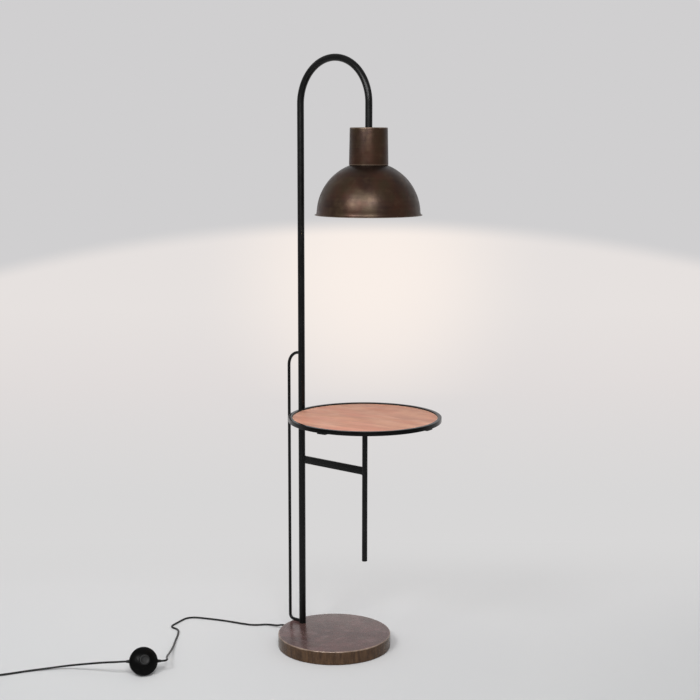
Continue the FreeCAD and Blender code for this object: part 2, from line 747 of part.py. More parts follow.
def build_head():
    """Shade, neck cup, nipple, holder and bulb, all on the drop of the arm."""
    axis = "arm_radius * 2 - pole_offset"
    centre = "neck_top_height - shade_centre_drop"
    flat = f"{centre} + shade_radius - shade_flat_drop"
    neck_foot = "neck_top_height - neck_length"
    mouth = "neck_top_height - holder_mouth_drop"

    def half_ball(name, less, foot, top):
        """The part of a sphere between two heights."""
        sphere = ball(f"{name}_ball", f"shade_radius - {less}", axis, "0", centre)
        slice_ = bar(f"{name}_slice", "shade_radius + 1", f"{top} - ({foot})", axis, "0", foot)
        return shared(name, sphere, slice_)

    skin = half_ball("dome_outside", "0", centre, flat)
    hollow = half_ball("dome_inside", "shade_wall", f"{centre} - 1", f"{flat} - shade_wall")
    hole = bar("dome_hole", "shade_hole_radius", "shade_radius * 2", axis, "0", centre)
    flange_foot = f"{centre} - rim_flange_thickness"
    flange = pipe("dome_flange", "shade_radius + rim_flange", "shade_radius - shade_wall",
                  "rim_flange_thickness", axis, "0", flange_foot)
    node(joined("shade_dome", cut("dome_shell", skin, hollow, hole), flange), "shade_dome")

    hole_radius = "nipple_radius + screw_clearance"
    under = "neck_top_height - neck_wall"
    node(turned("shade_neck", [
        (hole_radius, "neck_top_height"),
        ("neck_top_radius - neck_edge", "neck_top_height"),
        ("neck_top_radius", "neck_top_height - neck_edge"),
        ("neck_foot_radius", neck_foot),
        ("neck_foot_radius - neck_wall", neck_foot),
        ("neck_top_radius - neck_wall", under),
        (hole_radius, under),
    ], axis), "shade_neck")

    plug_foot = "neck_top_height + slip_gap"
    node(pipe("arm_end_plug", "pole_radius - pole_wall - slip_gap", "nipple_radius + slip_gap",
              "end_plug_length", axis, "0", plug_foot), "arm_end_plug")
    cap_top = f"{mouth} + holder_body_length + holder_cap_length"
    collar_top = f"{cap_top} + holder_collar_length"
    node(pipe("hollow_nipple", "nipple_radius", "nipple_bore",
              f"neck_top_height + nipple_reach - ({cap_top}) + 1", axis, "0", f"{cap_top} - 1"), "hollow_nipple")
    washer_foot = f"{under} - neck_washer_thickness"
    node(pipe("neck_washer", "neck_washer_radius", "nipple_radius + slip_gap", "neck_washer_thickness",
              axis, "0", washer_foot), "neck_washer")
    nut = hexagon("neck_nut_blank", "neck_nut_flats", "neck_nut_height",
                  f"{washer_foot} - neck_nut_height", axis)
    node(cut("neck_nut", nut, bar("neck_nut_bore", "nipple_radius + slip_gap", "neck_top_height", axis)),
         "neck_nut")

    seam = f"{mouth} + holder_body_length"
    node(turned("holder_cap", [
        ("nipple_radius + slip_gap", collar_top),
        ("holder_collar_radius", collar_top),
        ("holder_collar_radius", cap_top),
        ("holder_radius - 3", cap_top),
        ("holder_radius", f"{cap_top} - 3"),
        ("holder_radius", seam),
        ("holder_radius - holder_wall", seam),
        ("holder_radius - holder_wall", f"{cap_top} - holder_wall - 2"),
        ("nipple_radius + slip_gap", f"{cap_top} - holder_wall - 2"),
    ], axis), "holder_cap")
    node(pipe("holder_body", "holder_radius", "holder_bore", "holder_body_length", axis, "0",
              mouth), "holder_body")

    ring_gap = "slip_gap"
    for name, foot in (
        ("upper_shade_ring", f"{flat} + {ring_gap}"),
        ("lower_shade_ring", f"{flat} - shade_wall - {ring_gap} - shade_ring_height"),
    ):
        node(pipe(name, "shade_ring_radius", "holder_radius + slip_gap", "shade_ring_height", axis, "0",
                  foot), name)

    bulb_top = f"{mouth} + bulb_collar_gap + bulb_cap_length + bulb_tip_length"
    contact_foot = f"{bulb_top} + slip_gap"
    disc_foot = f"{contact_foot} + 2"
    node(bar("contact_disc", "contact_disc_radius", "contact_disc_thickness", axis, "0", disc_foot),
         "contact_disc")
    node(bar("centre_contact", "centre_contact_radius", "2", axis, "0", contact_foot), "centre_contact")

    cap_foot = f"{mouth} + bulb_collar_gap"
    shell = bar("bulb_cap_shell", "bulb_cap_radius", "bulb_cap_length", axis, "0", cap_foot)
    tip = bar("bulb_cap_tip", "bulb_tip_radius", "bulb_tip_length", axis, "0", f"{cap_foot} + bulb_cap_length")
    node(joined("bulb_cap", shell, tip), "bulb_cap")

    glass_middle = f"{bulb_top} - bulb_length + bulb_radius"
    taper_foot = f"{glass_middle} + bulb_radius * 0.5"
    skins = []
    for name, less in (("outside", "0"), ("inside", "bulb_glass_wall")):
        globe = ball(f"glass_globe_{name}", f"bulb_radius - {less}", axis, "0", glass_middle)
        waist = cone(f"glass_waist_{name}", f"bulb_radius * cos(30deg) - {less}", f"bulb_cap_radius - {less}",
                     f"{cap_foot} - ({taper_foot})", axis, "0", taper_foot)
        skins.append(joined(f"glass_{name}", globe, waist))
    node(cut("bulb_glass", *skins), "bulb_glass")
    return cap_top


# ------------------------------------------------------------------ wiring inside

def build_wiring(cap_top):
    """Cable through the pole, terminal block, mains tail and the gland in the base's wall."""
    weight_foot = "base_height - base_wall - weight_thickness"
    block_foot = f"{weight_foot} - terminal_height"
    body = block("terminal_body", "terminal_depth", "terminal_width", "terminal_height", "terminal_x",
                 "terminal_shift - terminal_width / 2", block_foot)
    holes, screws = [], []
    for i, row in enumerate((-1, 1)):
        for j, lane in enumerate(("0", "mains_tail_shift")):
            spot = (f"terminal_x + terminal_depth / 2 + {row} * terminal_depth / 4", lane)
            holes.append(bar(f"terminal_hole_{i}_{j}", "terminal_screw_radius + slip_gap",
                             "terminal_screw_length + 1", *spot, block_foot))
            screws.append(bar(f"terminal_screw_{i}_{j}", "terminal_screw_radius", "terminal_screw_length",
                              *spot, f"{block_foot} + 1"))
    node(cut("terminal_block", body, *holes), "terminal_block")
    node(group("terminal_screws", screws), "terminal_screws")

    radius = size("inner_cable_radius")
    pole_x, drop_x = -size("pole_offset"), 2 * size("arm_radius") - size("pole_offset")
    bend = size("inner_cable_foot_bend")
    insert_foot = value("base_height - base_wall - weight_thickness - pole_washer_thickness - pole_nut_height")
    low = insert_foot - 0.5 - bend
    top = value("neck_top_height + arm_drop")
    crown = Vector(pole_x + size("arm_radius"), 0, top + size("arm_radius"))
    diagonal = bend * (1 - math.sqrt(0.5))
    edges = [
        Part.LineSegment(Vector(size("terminal_x"), 0, low), Vector(pole_x + bend, 0, low)).toShape(),
        Part.Arc(Vector(pole_x + bend, 0, low), Vector(pole_x + diagonal, 0, low + diagonal),
                 Vector(pole_x, 0, low + bend)).toShape(),
        Part.LineSegment(Vector(pole_x, 0, low + bend), Vector(pole_x, 0, top)).toShape(),
        Part.Arc(Vector(pole_x, 0, top), crown, Vector(drop_x, 0, top)).toShape(),
        Part.LineSegment(Vector(drop_x, 0, top), Vector(drop_x, 0, value(cap_top) - 4)).toShape(),
    ]
    node(swept("inner_cable", edges, radius), "inner_cable")

    port = size("cord_port_height")
    inside_wall = value("-base_radius + base_wall + slip_gap + gland_flange")
    tail = [Vector(inside_wall, 0, port)]
    tail += [Vector(inside_wall + x, y, port) for x, y in TAIL_BENDS]
    tail.append(Vector(size("terminal_x"), size("mains_tail_shift"), port))
    edges, radii = rounded_route(tail)
    print("mains tail radii", [round(r, 1) for r in radii])
    node(swept("mains_tail", edges, size("cord_radius")), "mains_tail")

    height = "cord_port_height"
    outer = "-base_radius - slip_gap"
    inner = "-base_radius + base_wall + slip_gap"
    flange = bar("gland_flange_bar", "gland_collar_radius", "gland_flange", inner, "0", height, "x")
    neck = bar("gland_neck", "gland_neck_radius", f"{inner} - ({outer})", outer, "0", height, "x")
    collar = bar("gland_collar_bar", "gland_collar_radius", "gland_collar", f"{outer} - gland_collar",
                 "0", height, "x")
    taper = cone("gland_taper", "gland_tip_radius", "gland_collar_radius - 1",
                 "gland_length - gland_collar", f"{outer} - gland_length", "0", height, "x")
    node(joined("cord_gland", flange, neck, collar, taper), "cord_gland")


# ------------------------------------------------------------------ the foot switch

def switch_pose():
    """Where the switch stands: on the edge of its underside, its axis raised and itself rolled about it."""
    around_z, up = math.radians(size("switch_azimuth")), math.radians(size("switch_elevation"))
    way = Vector(math.cos(up) * math.cos(around_z), math.cos(up) * math.sin(around_z), math.sin(up))
    side = Vector(-math.sin(around_z), math.cos(around_z), 0)
    turn = Rotation(side, way.cross(side), way, "ZXY").multiply(Rotation(Z_AXIS, size("switch_roll")))
    foot = size("switch_radius") * math.cos(up)
    return Placement(Vector(size("switch_x"), size("switch_y"), foot), turn)


def build_switch():
    """Both shells, the button with its spring, the contacts, the clamps, the leads and the screws."""
    pose = switch_pose()

    def posed(thing, name):
        """Puts a piece that was made upright at the origin where the switch stands."""
        thing.Placement = pose.multiply(thing.Placement)
        return node(thing, name)

    parting = "switch_base_height"
    dome_centre = "switch_height - sqrt(switch_dome_radius ^ 2 - (button_radius + 1) ^ 2)"
    port = "switch_base_height"
    screws = list(around(SWITCH_SCREWS, "switch_boss_circle_radius", QUARTER))
    ports = [bar(f"switch_{part}_port", "port_neck_radius + slip_gap", "switch_radius * 2 + 4",
                 "-switch_radius - 2", "0", port, "x") for part in ("base", "cover")]

    outer = bar("switch_base_outside", "switch_radius", parting)
    inner = bar("switch_base_inside", "switch_radius - switch_wall", parting, z="switch_wall")
    bosses = [bar(f"switch_base_boss_{i}", "switch_boss_radius", parting, x, y) for i, x, y in screws]
    shanks = [bar(f"switch_base_hole_{i}", "switch_screw_radius + screw_clearance", parting, x, y)
              for i, x, y in screws]
    heads = [bar(f"switch_base_sink_{i}", "switch_screw_head_radius + screw_clearance",
                 "switch_screw_head + switch_screw_sink", x, y) for i, x, y in screws]
    cup = joined("switch_base_cup", cut("switch_base_pan", outer, inner), *bosses)
    posed(cut("switch_base", cup, *shanks, *heads, ports[0]), "switch_base")

    def dome(name, less, top):
        """The switch's dome between its parting line and a height, less a wall."""
        sphere = ball(f"{name}_ball", f"switch_dome_radius - {less}", z=dome_centre)
        trunk = bar(f"{name}_trunk", f"switch_radius - {less}", f"{top} - ({parting})", z=parting)
        return shared(name, sphere, trunk)

    inside = dome("switch_dome_inside", "switch_wall", "switch_height - switch_wall")
    posts = [bar(f"switch_cover_post_{i}", "switch_boss_radius", "switch_height", x, y, parting)
             for i, x, y in screws]
    shell = cut("switch_dome_shell", dome("switch_dome_outside", "0", "switch_height"), inside)
    trimmed = shared("switch_cover_posts", joined("switch_post_bars", *posts),
                     dome("switch_post_limit", "switch_wall / 2", "switch_height - switch_wall / 2"))
    taps = [bar(f"switch_cover_tap_{i}", "switch_screw_radius + slip_gap", "switch_screw_length", x, y)
            for i, x, y in screws]
    mouth = bar("switch_cover_mouth", "button_radius + button_gap", "switch_height * 2")
    whole = joined("switch_cover_whole", shell, trimmed)
    posed(cut("switch_cover", whole, mouth, *taps, ports[1]), "switch_cover")

    top = "switch_height + button_proud"
    flange_top = "switch_height - switch_wall - button_gap - button_flange_sink"
    flange_foot = f"{flange_top} - button_flange_thickness"
    inner_radius = "button_radius - button_wall"
    ceiling = f"{top} - button_wall"
    post_foot = "switch_wall + contact_block_height + 0.5"
    button = turned("switch_button", [
        ("0", top),
        ("button_radius - button_edge", top),
        ("button_radius", f"{top} - button_edge"),
        ("button_radius", flange_top),
        ("button_radius + button_flange", flange_top),
        ("button_radius + button_flange", flange_foot),
        (inner_radius, flange_foot),
        (inner_radius, ceiling),
        ("button_post_radius", ceiling),
        ("button_post_radius", post_foot),
        ("0", post_foot),
    ])
    posed(button, "switch_button")

    contact = block("contact_box", "contact_block_length", "contact_block_width", "contact_block_height",
                    "-contact_block_length / 2", "-contact_block_width / 2", "switch_wall")
    well = bar("contact_well", "button_post_radius + button_gap", "contact_bore_depth",
               z="switch_wall + contact_block_height - contact_bore_depth")
    posed(cut("switch_contact_block", contact, well), "switch_contact_block")

    def helix_station(turn, low, high, turns):
        """A point and direction of the spring's wire at some turn, with closed ends."""
        angle = 2 * math.pi * turn
        height = low + (high - low) * turn / turns
        climb = (high - low) / (2 * math.pi * turns)
        coil = size("spring_radius")
        way = Vector(-coil * math.sin(angle), coil * math.cos(angle), climb)
        return Vector(coil * math.cos(angle), coil * math.sin(angle), height), way.normalize()

    wire = size("spring_wire")
    low = value("switch_wall + contact_block_height") + wire + size("slip_gap")
    high = value(ceiling) - wire - size("slip_gap")
    turns = size("spring_turns")
    stations = [helix_station(step / QUARTERS_PER_TURN, low, high, turns)
                for step in range(int(turns * QUARTERS_PER_TURN) + 1)]
    posed(wound("button_spring", stations, wire, SPRING_STEPS), "button_spring")

    flange = bar("port_flange", "port_flange_radius", "port_flange_thickness", "port_flange_place", "0",
                 port, "x")
    neck_start = "port_flange_place + port_flange_thickness"
    neck = bar("port_neck", "port_neck_radius", f"switch_radius + slip_gap - ({neck_start})", neck_start,
               "0", port, "x")
    nose = cone("port_nose", "port_neck_radius + switch_sleeve_step", "gland_tip_radius",
                "port_sleeve_reach - slip_gap", "switch_radius + slip_gap", "0", port, "x")
    lead_start = "contact_block_length / 2"
    lead = bar("switch_lead", "cord_radius", f"port_flange_place - {lead_start}", lead_start, "0", port, "x")
    saddle = block("cord_clamp_saddle", "clamp_depth", "clamp_width", "clamp_height",
                   "clamp_place - clamp_depth / 2", "-clamp_width / 2", "switch_wall")
    grip = bar("cord_clamp_grip", "cord_radius", "switch_radius", "0", "0", port, "x")
    posed(both_sides("port_sleeves", joined("port_sleeve", flange, neck, nose)), "port_sleeves")
    posed(both_sides("switch_leads", lead), "switch_leads")
    posed(both_sides("cord_clamps", cut("cord_clamp", saddle, grip)), "cord_clamps")

    fixings = []
    for i, x, y in screws:
        head = bar(f"switch_screw_head_{i}", "switch_screw_head_radius", "switch_screw_head", x, y,
                   "switch_screw_sink")
        shank = bar(f"switch_screw_shank_{i}", "switch_screw_radius",
                    "switch_screw_length - switch_screw_sink - switch_screw_head - slip_gap", x, y,
                    "switch_screw_sink + switch_screw_head")
        fixings.append(joined(f"switch_screw_{i}", head, shank))
    posed(group("switch_screws", fixings), "switch_screws")
    return pose


# ------------------------------------------------------------------ the cord and its plug

def route_points(corners):
    """A cord's hand-chosen corner points, whose heights are measured from the resting height."""
    rest = size("cord_radius") + size("floor_gap")
    return [Vector(x, y, rest + z) for x, y, z in corners]


def cord_along(name, points):
    """A cord as runs joined by tangent arcs, with the arcs' radii printed."""
    edges, radii = rounded_route(points)
    print(name, "radii", [round(radius) for radius in radii])
    return node(swept(name, edges, size("cord_radius")), name)


def coil_stations(start, heading):
    """Points and directions of the coil: in on the first layer, up one layer, and out on the second."""
    turns, pitch = size("coil_turns"), size("coil_pitch")
    half, blend = turns / 2, 1 / QUARTERS_PER_TURN

    def spot(turn):
        """Radius, height over the first layer and angle after some turns."""
        off = abs(turn - half)
        spiral = off ** 2 / (2 * blend) if off < blend else off - blend / 2
        climb = min(1.0, max(0.0, (turn - half + blend) / (2 * blend)))
        rise = size("coil_layer") * climb ** 2 * (3 - 2 * climb)
        radius, angle = size("coil_inner_radius") + pitch * spiral, 2 * math.pi * turn
        return Vector(radius * math.cos(angle), radius * math.sin(angle), rise)

    def way(turn):
        """Direction after some turns."""
        step = 1e-4
        return (spot(turn + step) - spot(turn - step)).normalize()

    count = int(round(turns * QUARTERS_PER_TURN))
    stations = [(spot(step / QUARTERS_PER_TURN), way(step / QUARTERS_PER_TURN)) for step in range(count + 1)]
    turn = Rotation(stations[0][1], heading)
    shift = start - turn.multVec(stations[0][0])
    return [(turn.multVec(point) + shift, turn.multVec(ahead)) for point, ahead in stations], shift


def build_cord(pose):
    """Both free lengths of cord, the coil with its tie, and the plug."""
    ahead = Vector(1, 0, 0)
    side = pose.Rotation.multVec(ahead)
    port = size("switch_base_height")
    tip = size("switch_radius") + size("port_sleeve_reach")
    right = pose.multVec(Vector(tip, 0, port))
    left = pose.multVec(Vector(-tip, 0, port))
    gland = Vector(value("-base_radius - slip_gap - gland_length"), 0, size("cord_port_height"))
    gland_ahead = gland - ahead * size("gland_lead")
    cord_along("cord_to_switch", [gland, gland_ahead] + route_points(ROUTE_BASE_TO_SWITCH)
               + [right + side * size("switch_lead_out"), right])

    turned_by = math.radians(size("coil_heading"))
    heading = Vector(math.cos(turned_by), math.sin(turned_by), 0)
    lift = value("floor_gap + tie_thickness + tie_gap + cord_radius")
    start = Vector(size("coil_start_x"), size("coil_start_y"), lift)
    cord_along("cord_to_coil", [left, left - side * size("switch_lead_out")]
               + route_points(ROUTE_SWITCH_TO_COIL) + [start - heading * size("coil_lead_in"), start])

    end_run = 2 * size("cord_radius")
    stations, centre = coil_stations(start + heading * end_run, heading)
    out_from, out_way = stations[-1]
    level = Vector(out_way.x, out_way.y, 0).normalize()
    drop = Z_AXIS * (out_from.z - value("floor_gap + plug_half_height"))
    landing = out_from + level * (end_run + size("coil_lead_out")) - drop
    plug_start = landing + level * end_run
    stations = [(start, heading)] + stations + [
        (out_from + level * end_run, level), (landing, level), (plug_start, level)]
    node(wound("cord_coil", stations, size("cord_radius"), COIL_STEPS), "cord_coil")

    # The tie is a flat band around both layers, at the side of the coil across from the cord's ends.
    inner, outer = "coil_inner_radius", "coil_inner_radius + coil_pitch * (coil_turns / 2 - 0.125)"
    bands = []
    for name, radius in (
        ("inside", "coil_layer / 2 + cord_radius + tie_gap"),
        ("outside", "coil_layer / 2 + cord_radius + tie_gap + tie_thickness"),
    ):
        ends = [bar(f"tie_end_{i}_{name}", radius, "tie_width", x, "-tie_width / 2", "0", "y")
                for i, x in enumerate((inner, outer))]
        middle = block(f"tie_middle_{name}", f"{outer} - {inner}", "tie_width", f"2 * ({radius})", inner,
                       "-tie_width / 2", f"-({radius})")
        bands.append(joined(f"tie_{name}", *ends, middle))
    band = cut("coil_tie", bands[1], bands[0])
    across = math.degrees(math.atan2(heading.y, heading.x)) + TIE_TURN
    band.Placement = Placement(centre + Z_AXIS * (size("coil_layer") / 2), Rotation(Z_AXIS, across))
    node(band, "coil_tie")

    plug_pose = Placement(plug_start, Rotation(ahead, level))
    body_start = "plug_relief_length"
    relief = cone("plug_relief", "gland_tip_radius", "plug_relief_radius", body_start, along="x")
    body = block("plug_box", "plug_length", "2 * plug_half_width", "2 * plug_half_height", body_start,
                 "-plug_half_width", "-plug_half_height")
    waist = [bar(f"plug_waist_{i}", "plug_waist_radius", "2 * plug_half_height", body_start,
                 f"{row} * (plug_half_width + plug_waist_radius - plug_waist)", "-plug_half_height")
             for i, row in enumerate((-1, 1))]
    pins = [bar(f"plug_pin_{i}", "pin_radius", "pin_length + pin_bite",
                f"{body_start} + plug_length - pin_bite", f"{row} * pin_spacing / 2", "0", "x")
            for i, row in enumerate((-1, 1))]
    for thing, name in (
        (relief, "plug_relief"),
        (cut("plug_body", body, *waist, *pins), "plug_body"),
        (group("plug_pins", pins), "plug_pins"),
    ):
        thing.Placement = plug_pose.multiply(thing.Placement)
        node(thing, name)


def write_parts():
    """Checks every node's shape and writes it to parts/."""
    doc.recompute()
    os.makedirs("parts", exist_ok=True)
    for thing in doc.Objects:
        if {"Invalid", "Error"} & set(thing.State):
            raise ValueError(f"{thing.Label}: {thing.State}")
    for thing in nodes:
        shape = thing.Shape
        if shape.isNull() or not shape.isValid() or shape.Volume <= 0:
            raise ValueError(f"{thing.Label}: bad shape")
        shape.exportStep(f"parts/{thing.Label}.step")
        box = shape.BoundBox
        print(f"{thing.Label}: {len(shape.Solids)} solid(s), {shape.Volume:.0f} mm3, "
              f"x {box.XMin:.1f} {box.XMax:.1f} y {box.YMin:.1f} {box.YMax:.1f} z {box.ZMin:.1f} {box.ZMax:.1f}")
    print(len(nodes), "nodes")


fill_sheet()
build_base()
build_pole()
build_table()
build_wiring(build_head())
build_cord(build_switch())
write_parts()
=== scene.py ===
import logging
import math
from collections.abc import Callable, Sequence
from dataclasses import dataclass, field
from enum import Enum
from functools import cache
from typing import ClassVar

import bmesh
import bpy
from bmesh.types import BMesh, BMVert
from bpy.types import Material, Node, NodeSocket, NodeTree, Object
from mathutils import Matrix, Vector


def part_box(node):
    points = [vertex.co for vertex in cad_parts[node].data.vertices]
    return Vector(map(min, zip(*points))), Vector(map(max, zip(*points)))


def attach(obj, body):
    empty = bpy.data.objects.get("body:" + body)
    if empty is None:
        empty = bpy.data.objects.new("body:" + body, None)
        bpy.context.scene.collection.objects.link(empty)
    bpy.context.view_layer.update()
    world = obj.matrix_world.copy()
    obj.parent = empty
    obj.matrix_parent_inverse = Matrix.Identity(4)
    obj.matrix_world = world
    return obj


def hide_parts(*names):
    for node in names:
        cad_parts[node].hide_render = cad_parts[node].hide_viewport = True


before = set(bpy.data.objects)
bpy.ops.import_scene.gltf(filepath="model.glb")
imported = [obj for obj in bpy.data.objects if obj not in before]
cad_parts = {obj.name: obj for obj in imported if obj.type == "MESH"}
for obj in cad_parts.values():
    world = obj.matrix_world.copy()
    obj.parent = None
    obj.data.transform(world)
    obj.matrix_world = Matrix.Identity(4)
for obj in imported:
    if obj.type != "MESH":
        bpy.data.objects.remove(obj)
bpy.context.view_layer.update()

# Looks for a hooked floor lamp with a small round table. All sizes are in metres, in the CAD's frame:
# +Z is up from the floor, and the lamp hooks over in the XZ plane, towards +X.

LOG = logging.getLogger("floor_lamp")
LAMP, BUTTON = "lamp", "foot_button"
MM = 0.001
QUARTER_TURN, HALF_TURN, FULL_TURN = math.pi / 2, math.pi, 2 * math.pi
X, Y, Z = Vector((1, 0, 0)), Vector((0, 1, 0)), Vector((0, 0, 1))

Stops = Sequence[tuple[float, str | float]]  # a ramp's points: place, and hex colour or grey
Source = Node | NodeSocket | str | tuple[Node, Stops]  # a colour: from nodes, in hex, or from a ramp
Corner = tuple[float, float, float]  # radius, height and rounding

# The camera, fitted to the ellipses of the base, table and shade and to the straight pole.
CAMERA_PLACE = Vector((2.3847, -2.7350, 1.3445))
CAMERA_AHEAD = Vector((-0.64141, 0.75276, -0.14815))
CAMERA_ROLL = 0.0010
CAMERA_FOCAL_PIXELS = 1409.9
CAMERA_REACH = 60
PICTURE_PIXELS = 700
SENSOR_MM = 36.0

# The cord's free route, as in the part's source: x, y and the height of its axis over its resting height.
CORD_RADIUS = 2.6 * MM
FLOOR_GAP = 0.1 * MM
CORD_REST = CORD_RADIUS + FLOOR_GAP
ON_AXIS = 1e-7  # a radius under this is on the axis
MOST_OF_SIDE = 0.49  # a rounding takes no more of a side than this share
ROUTE_BASE_TO_SWITCH = [
    (-0.209, -0.003, 0.0038), (-0.243, -0.004, 0), (-0.268, -0.036, 0), (-0.301, -0.047, 0),
    (-0.357, -0.062, 0), (-0.403, -0.080, 0), (-0.457, -0.105, 0), (-0.444, -0.162, 0),
    (-0.434, -0.197, 0), (-0.401, -0.194, 0), (-0.370, -0.226, 0), (-0.343, -0.260, 0),
    (-0.309, -0.299, 0.0023), (-0.267, -0.348, 0.0113), (-0.228, -0.397, 0.0213),
    (-0.199, -0.419, 0.0275),
]
ROUTE_SWITCH_TO_COIL = [
    (-0.272, -0.528, 0.0348), (-0.305, -0.540, 0.029), (-0.358, -0.560, 0.0173),
    (-0.400, -0.579, 0.0083), (-0.435, -0.609, 0.0018), (-0.463, -0.650, 0), (-0.485, -0.697, 0),
]


# ------------------------------------------------------------------ colours, nodes and finishes

def linear(code: str) -> tuple[float, float, float, float]:
    """Turns an sRGB hex colour into a linear one.

    Args:
        code: the colour, such as "#c08f76".

    Returns:
        Red, green, blue and an alpha of 1.
    """
    parts = [int(code[i:i + 2], 16) / 255 for i in (1, 3, 5)]
    red, green, blue = (p / 12.92 if p <= 0.04045 else ((p + 0.055) / 1.055) ** 2.4 for p in parts)
    return red, green, blue, 1.0


def set_up(node: Node, settings: dict) -> None:
    """Sets a node's properties and inputs, and links what other nodes feed.

    Args:
        node: the node.
        settings: a value, hex colour, node or output by property, or by an input's name or identifier.
            A pattern and its stops make a ramp between the pattern and the input, and "stops" are a
            ramp's own points.
    """
    tree = node.id_data
    inputs = {key: socket for socket in list(node.inputs)[::-1] for key in (socket.name, socket.identifier)}
    for name, setting in settings.items():
        if name == "stops":
            points = node.color_ramp.elements
            while len(points) < len(setting):
                points.new(0.5)
            for point, (place, shade) in zip(points, setting):
                point.position = place
                point.color = linear(shade) if isinstance(shade, str) else (shade, shade, shade, 1)
        elif name not in inputs:
            setattr(node, name, setting)
        elif isinstance(setting, Node | NodeSocket):
            if isinstance(setting, Node):
                setting = next(output for output in setting.outputs if output.enabled)
            tree.links.new(setting, inputs[name])
        elif isinstance(setting, tuple) and isinstance(setting[0], Node | NodeSocket):
            pattern, stops = setting
            set_up(node, {name: add_node(tree, "ValToRGB", {"Fac": pattern, "stops": stops})})
        else:
            inputs[name].default_value = linear(setting) if isinstance(setting, str) else setting


def add_node(tree: NodeTree, kind: str, settings: dict | None = None) -> Node:
    """Adds one node with its settings and links.

    Args:
        tree: the material's or world's nodes.
        kind: the node's type, without its "ShaderNode" prefix.
        settings: as for set_up.

    Returns:
        The new node.
    """
    new = tree.nodes.new("ShaderNode" + kind)
    set_up(new, settings or {})
    return new


def cloud(place: Node | NodeSocket, millimetres: float, detail: float = 3.0,
          stretch: tuple[float, float, float] = (1, 1, 1)) -> Node:
    """A soft noise pattern.

    Args:
        place: the point on the surface.
        millimetres: how large one patch is.
        detail: how many finer layers the noise has.
        stretch: how much longer a patch is along each axis.

    Returns:
        The pattern, about 0.5 on average.
    """
    tree = place.id_data
    scaled = add_node(tree, "Mapping", {"Vector": place, "Scale": tuple(1 / s for s in stretch)})
    return add_node(tree, "TexNoise", {"Vector": scaled, "Scale": 1 / (millimetres * MM), "Detail": detail})


def tint(base: Source, colour: Source, pattern: Node | NodeSocket, stops: Stops) -> Node:
    """Lays a second colour over a base.

    Args:
        base: the first colour.
        colour: the second colour.
        pattern: the pattern that the second colour follows.
        stops: how much of it shows where the pattern is weak and strong.

    Returns:
        The mixed colour.
    """
    return add_node(pattern.id_data, "Mix", {"data_type": "RGBA", "Factor_Float": (pattern, stops),
                                             "A_Color": base, "B_Color": colour})


def fade(base: Source, colour: Source, along: Node | NodeSocket, span: tuple[float, float],
         share: tuple[float, float] = (0.0, 1.0), ease: str = "LINEAR") -> Node:
    """Lays a second colour over a base, more or less of it along a length.

    Args:
        base: the first colour.
        colour: the second colour.
        along: the length.
        span: where along it the change starts and ends.
        share: how much of the second colour shows at both ends.
        ease: the change's form, LINEAR, SMOOTHSTEP or SMOOTHERSTEP.

    Returns:
        The mixed colour.
    """
    amount = add_node(along.id_data, "MapRange", {
        "interpolation_type": ease, "Value": along, "From Min": span[0], "From Max": span[1],
        "To Min": share[0], "To Max": share[1]})
    return add_node(along.id_data, "Mix", {"data_type": "RGBA", "Factor_Float": amount, "A_Color": base,
                                           "B_Color": colour})


@dataclass(frozen=True)
class Finish:
    """A material made from what the real surface is, with a slot name. Its kinds
    say in surface() what goes into the shader."""

    name: str
    slot: str = ""

    @cache
    def material(self) -> Material:
        """Makes the material at the first call.

        Returns:
            The material.
        """
        made = bpy.data.materials.new(self.name)
        made.use_nodes = True
        tree = made.node_tree
        tree.nodes.clear()
        place = add_node(tree, "TexCoord").outputs["Object"]
        settings = self.surface(tree, place)
        if "relief" in settings:
            height, strength, millimetres = settings.pop("relief")
            settings["Normal"] = add_node(tree, "Bump", {"Height": height, "Strength": strength,
                                                         "Distance": millimetres * MM})
        add_node(tree, "OutputMaterial", {"Surface": add_node(tree, "BsdfPrincipled", settings)})
        return made

    def surface(self, tree: NodeTree, place: NodeSocket) -> dict:
        """Builds the surface's patterns.

        Args:
            tree: the material's nodes.
            place: the point on the surface, in the row's frame.

        Returns:
            The settings of the Principled shader. Its "relief" is a pattern of heights with a strength
            and a depth in millimetres.
        """
        raise NotImplementedError


@dataclass(frozen=True)
class PowderCoat(Finish):
    """Steel tube and bar with a baked satin black powder coat: soft highlights and a faint orange peel."""

    colour: str = "#030303"
    worn: str = "#0a0a0a"
    gloss: float = 0.32
    peel_mm: float = 2.4  # the real peel is about 0.8 mm and would not show
    peel: float = 0.25
    sheen: float = 0.22

    def surface(self, tree: NodeTree, place: NodeSocket) -> dict:
        """Nearly black, with slow changes of tone and gloss along the tube."""
        return {"Base Color": tint(self.colour, self.worn, cloud(place, 60, 4), [(0.42, 0.0), (0.72, 1.0)]),
                "Roughness": (cloud(place, 22), [(0.3, self.gloss - 0.05), (0.7, self.gloss + 0.08)]),
                "Specular IOR Level": self.sheen,
                "relief": (cloud(place, self.peel_mm, 1), self.peel, 0.05)}


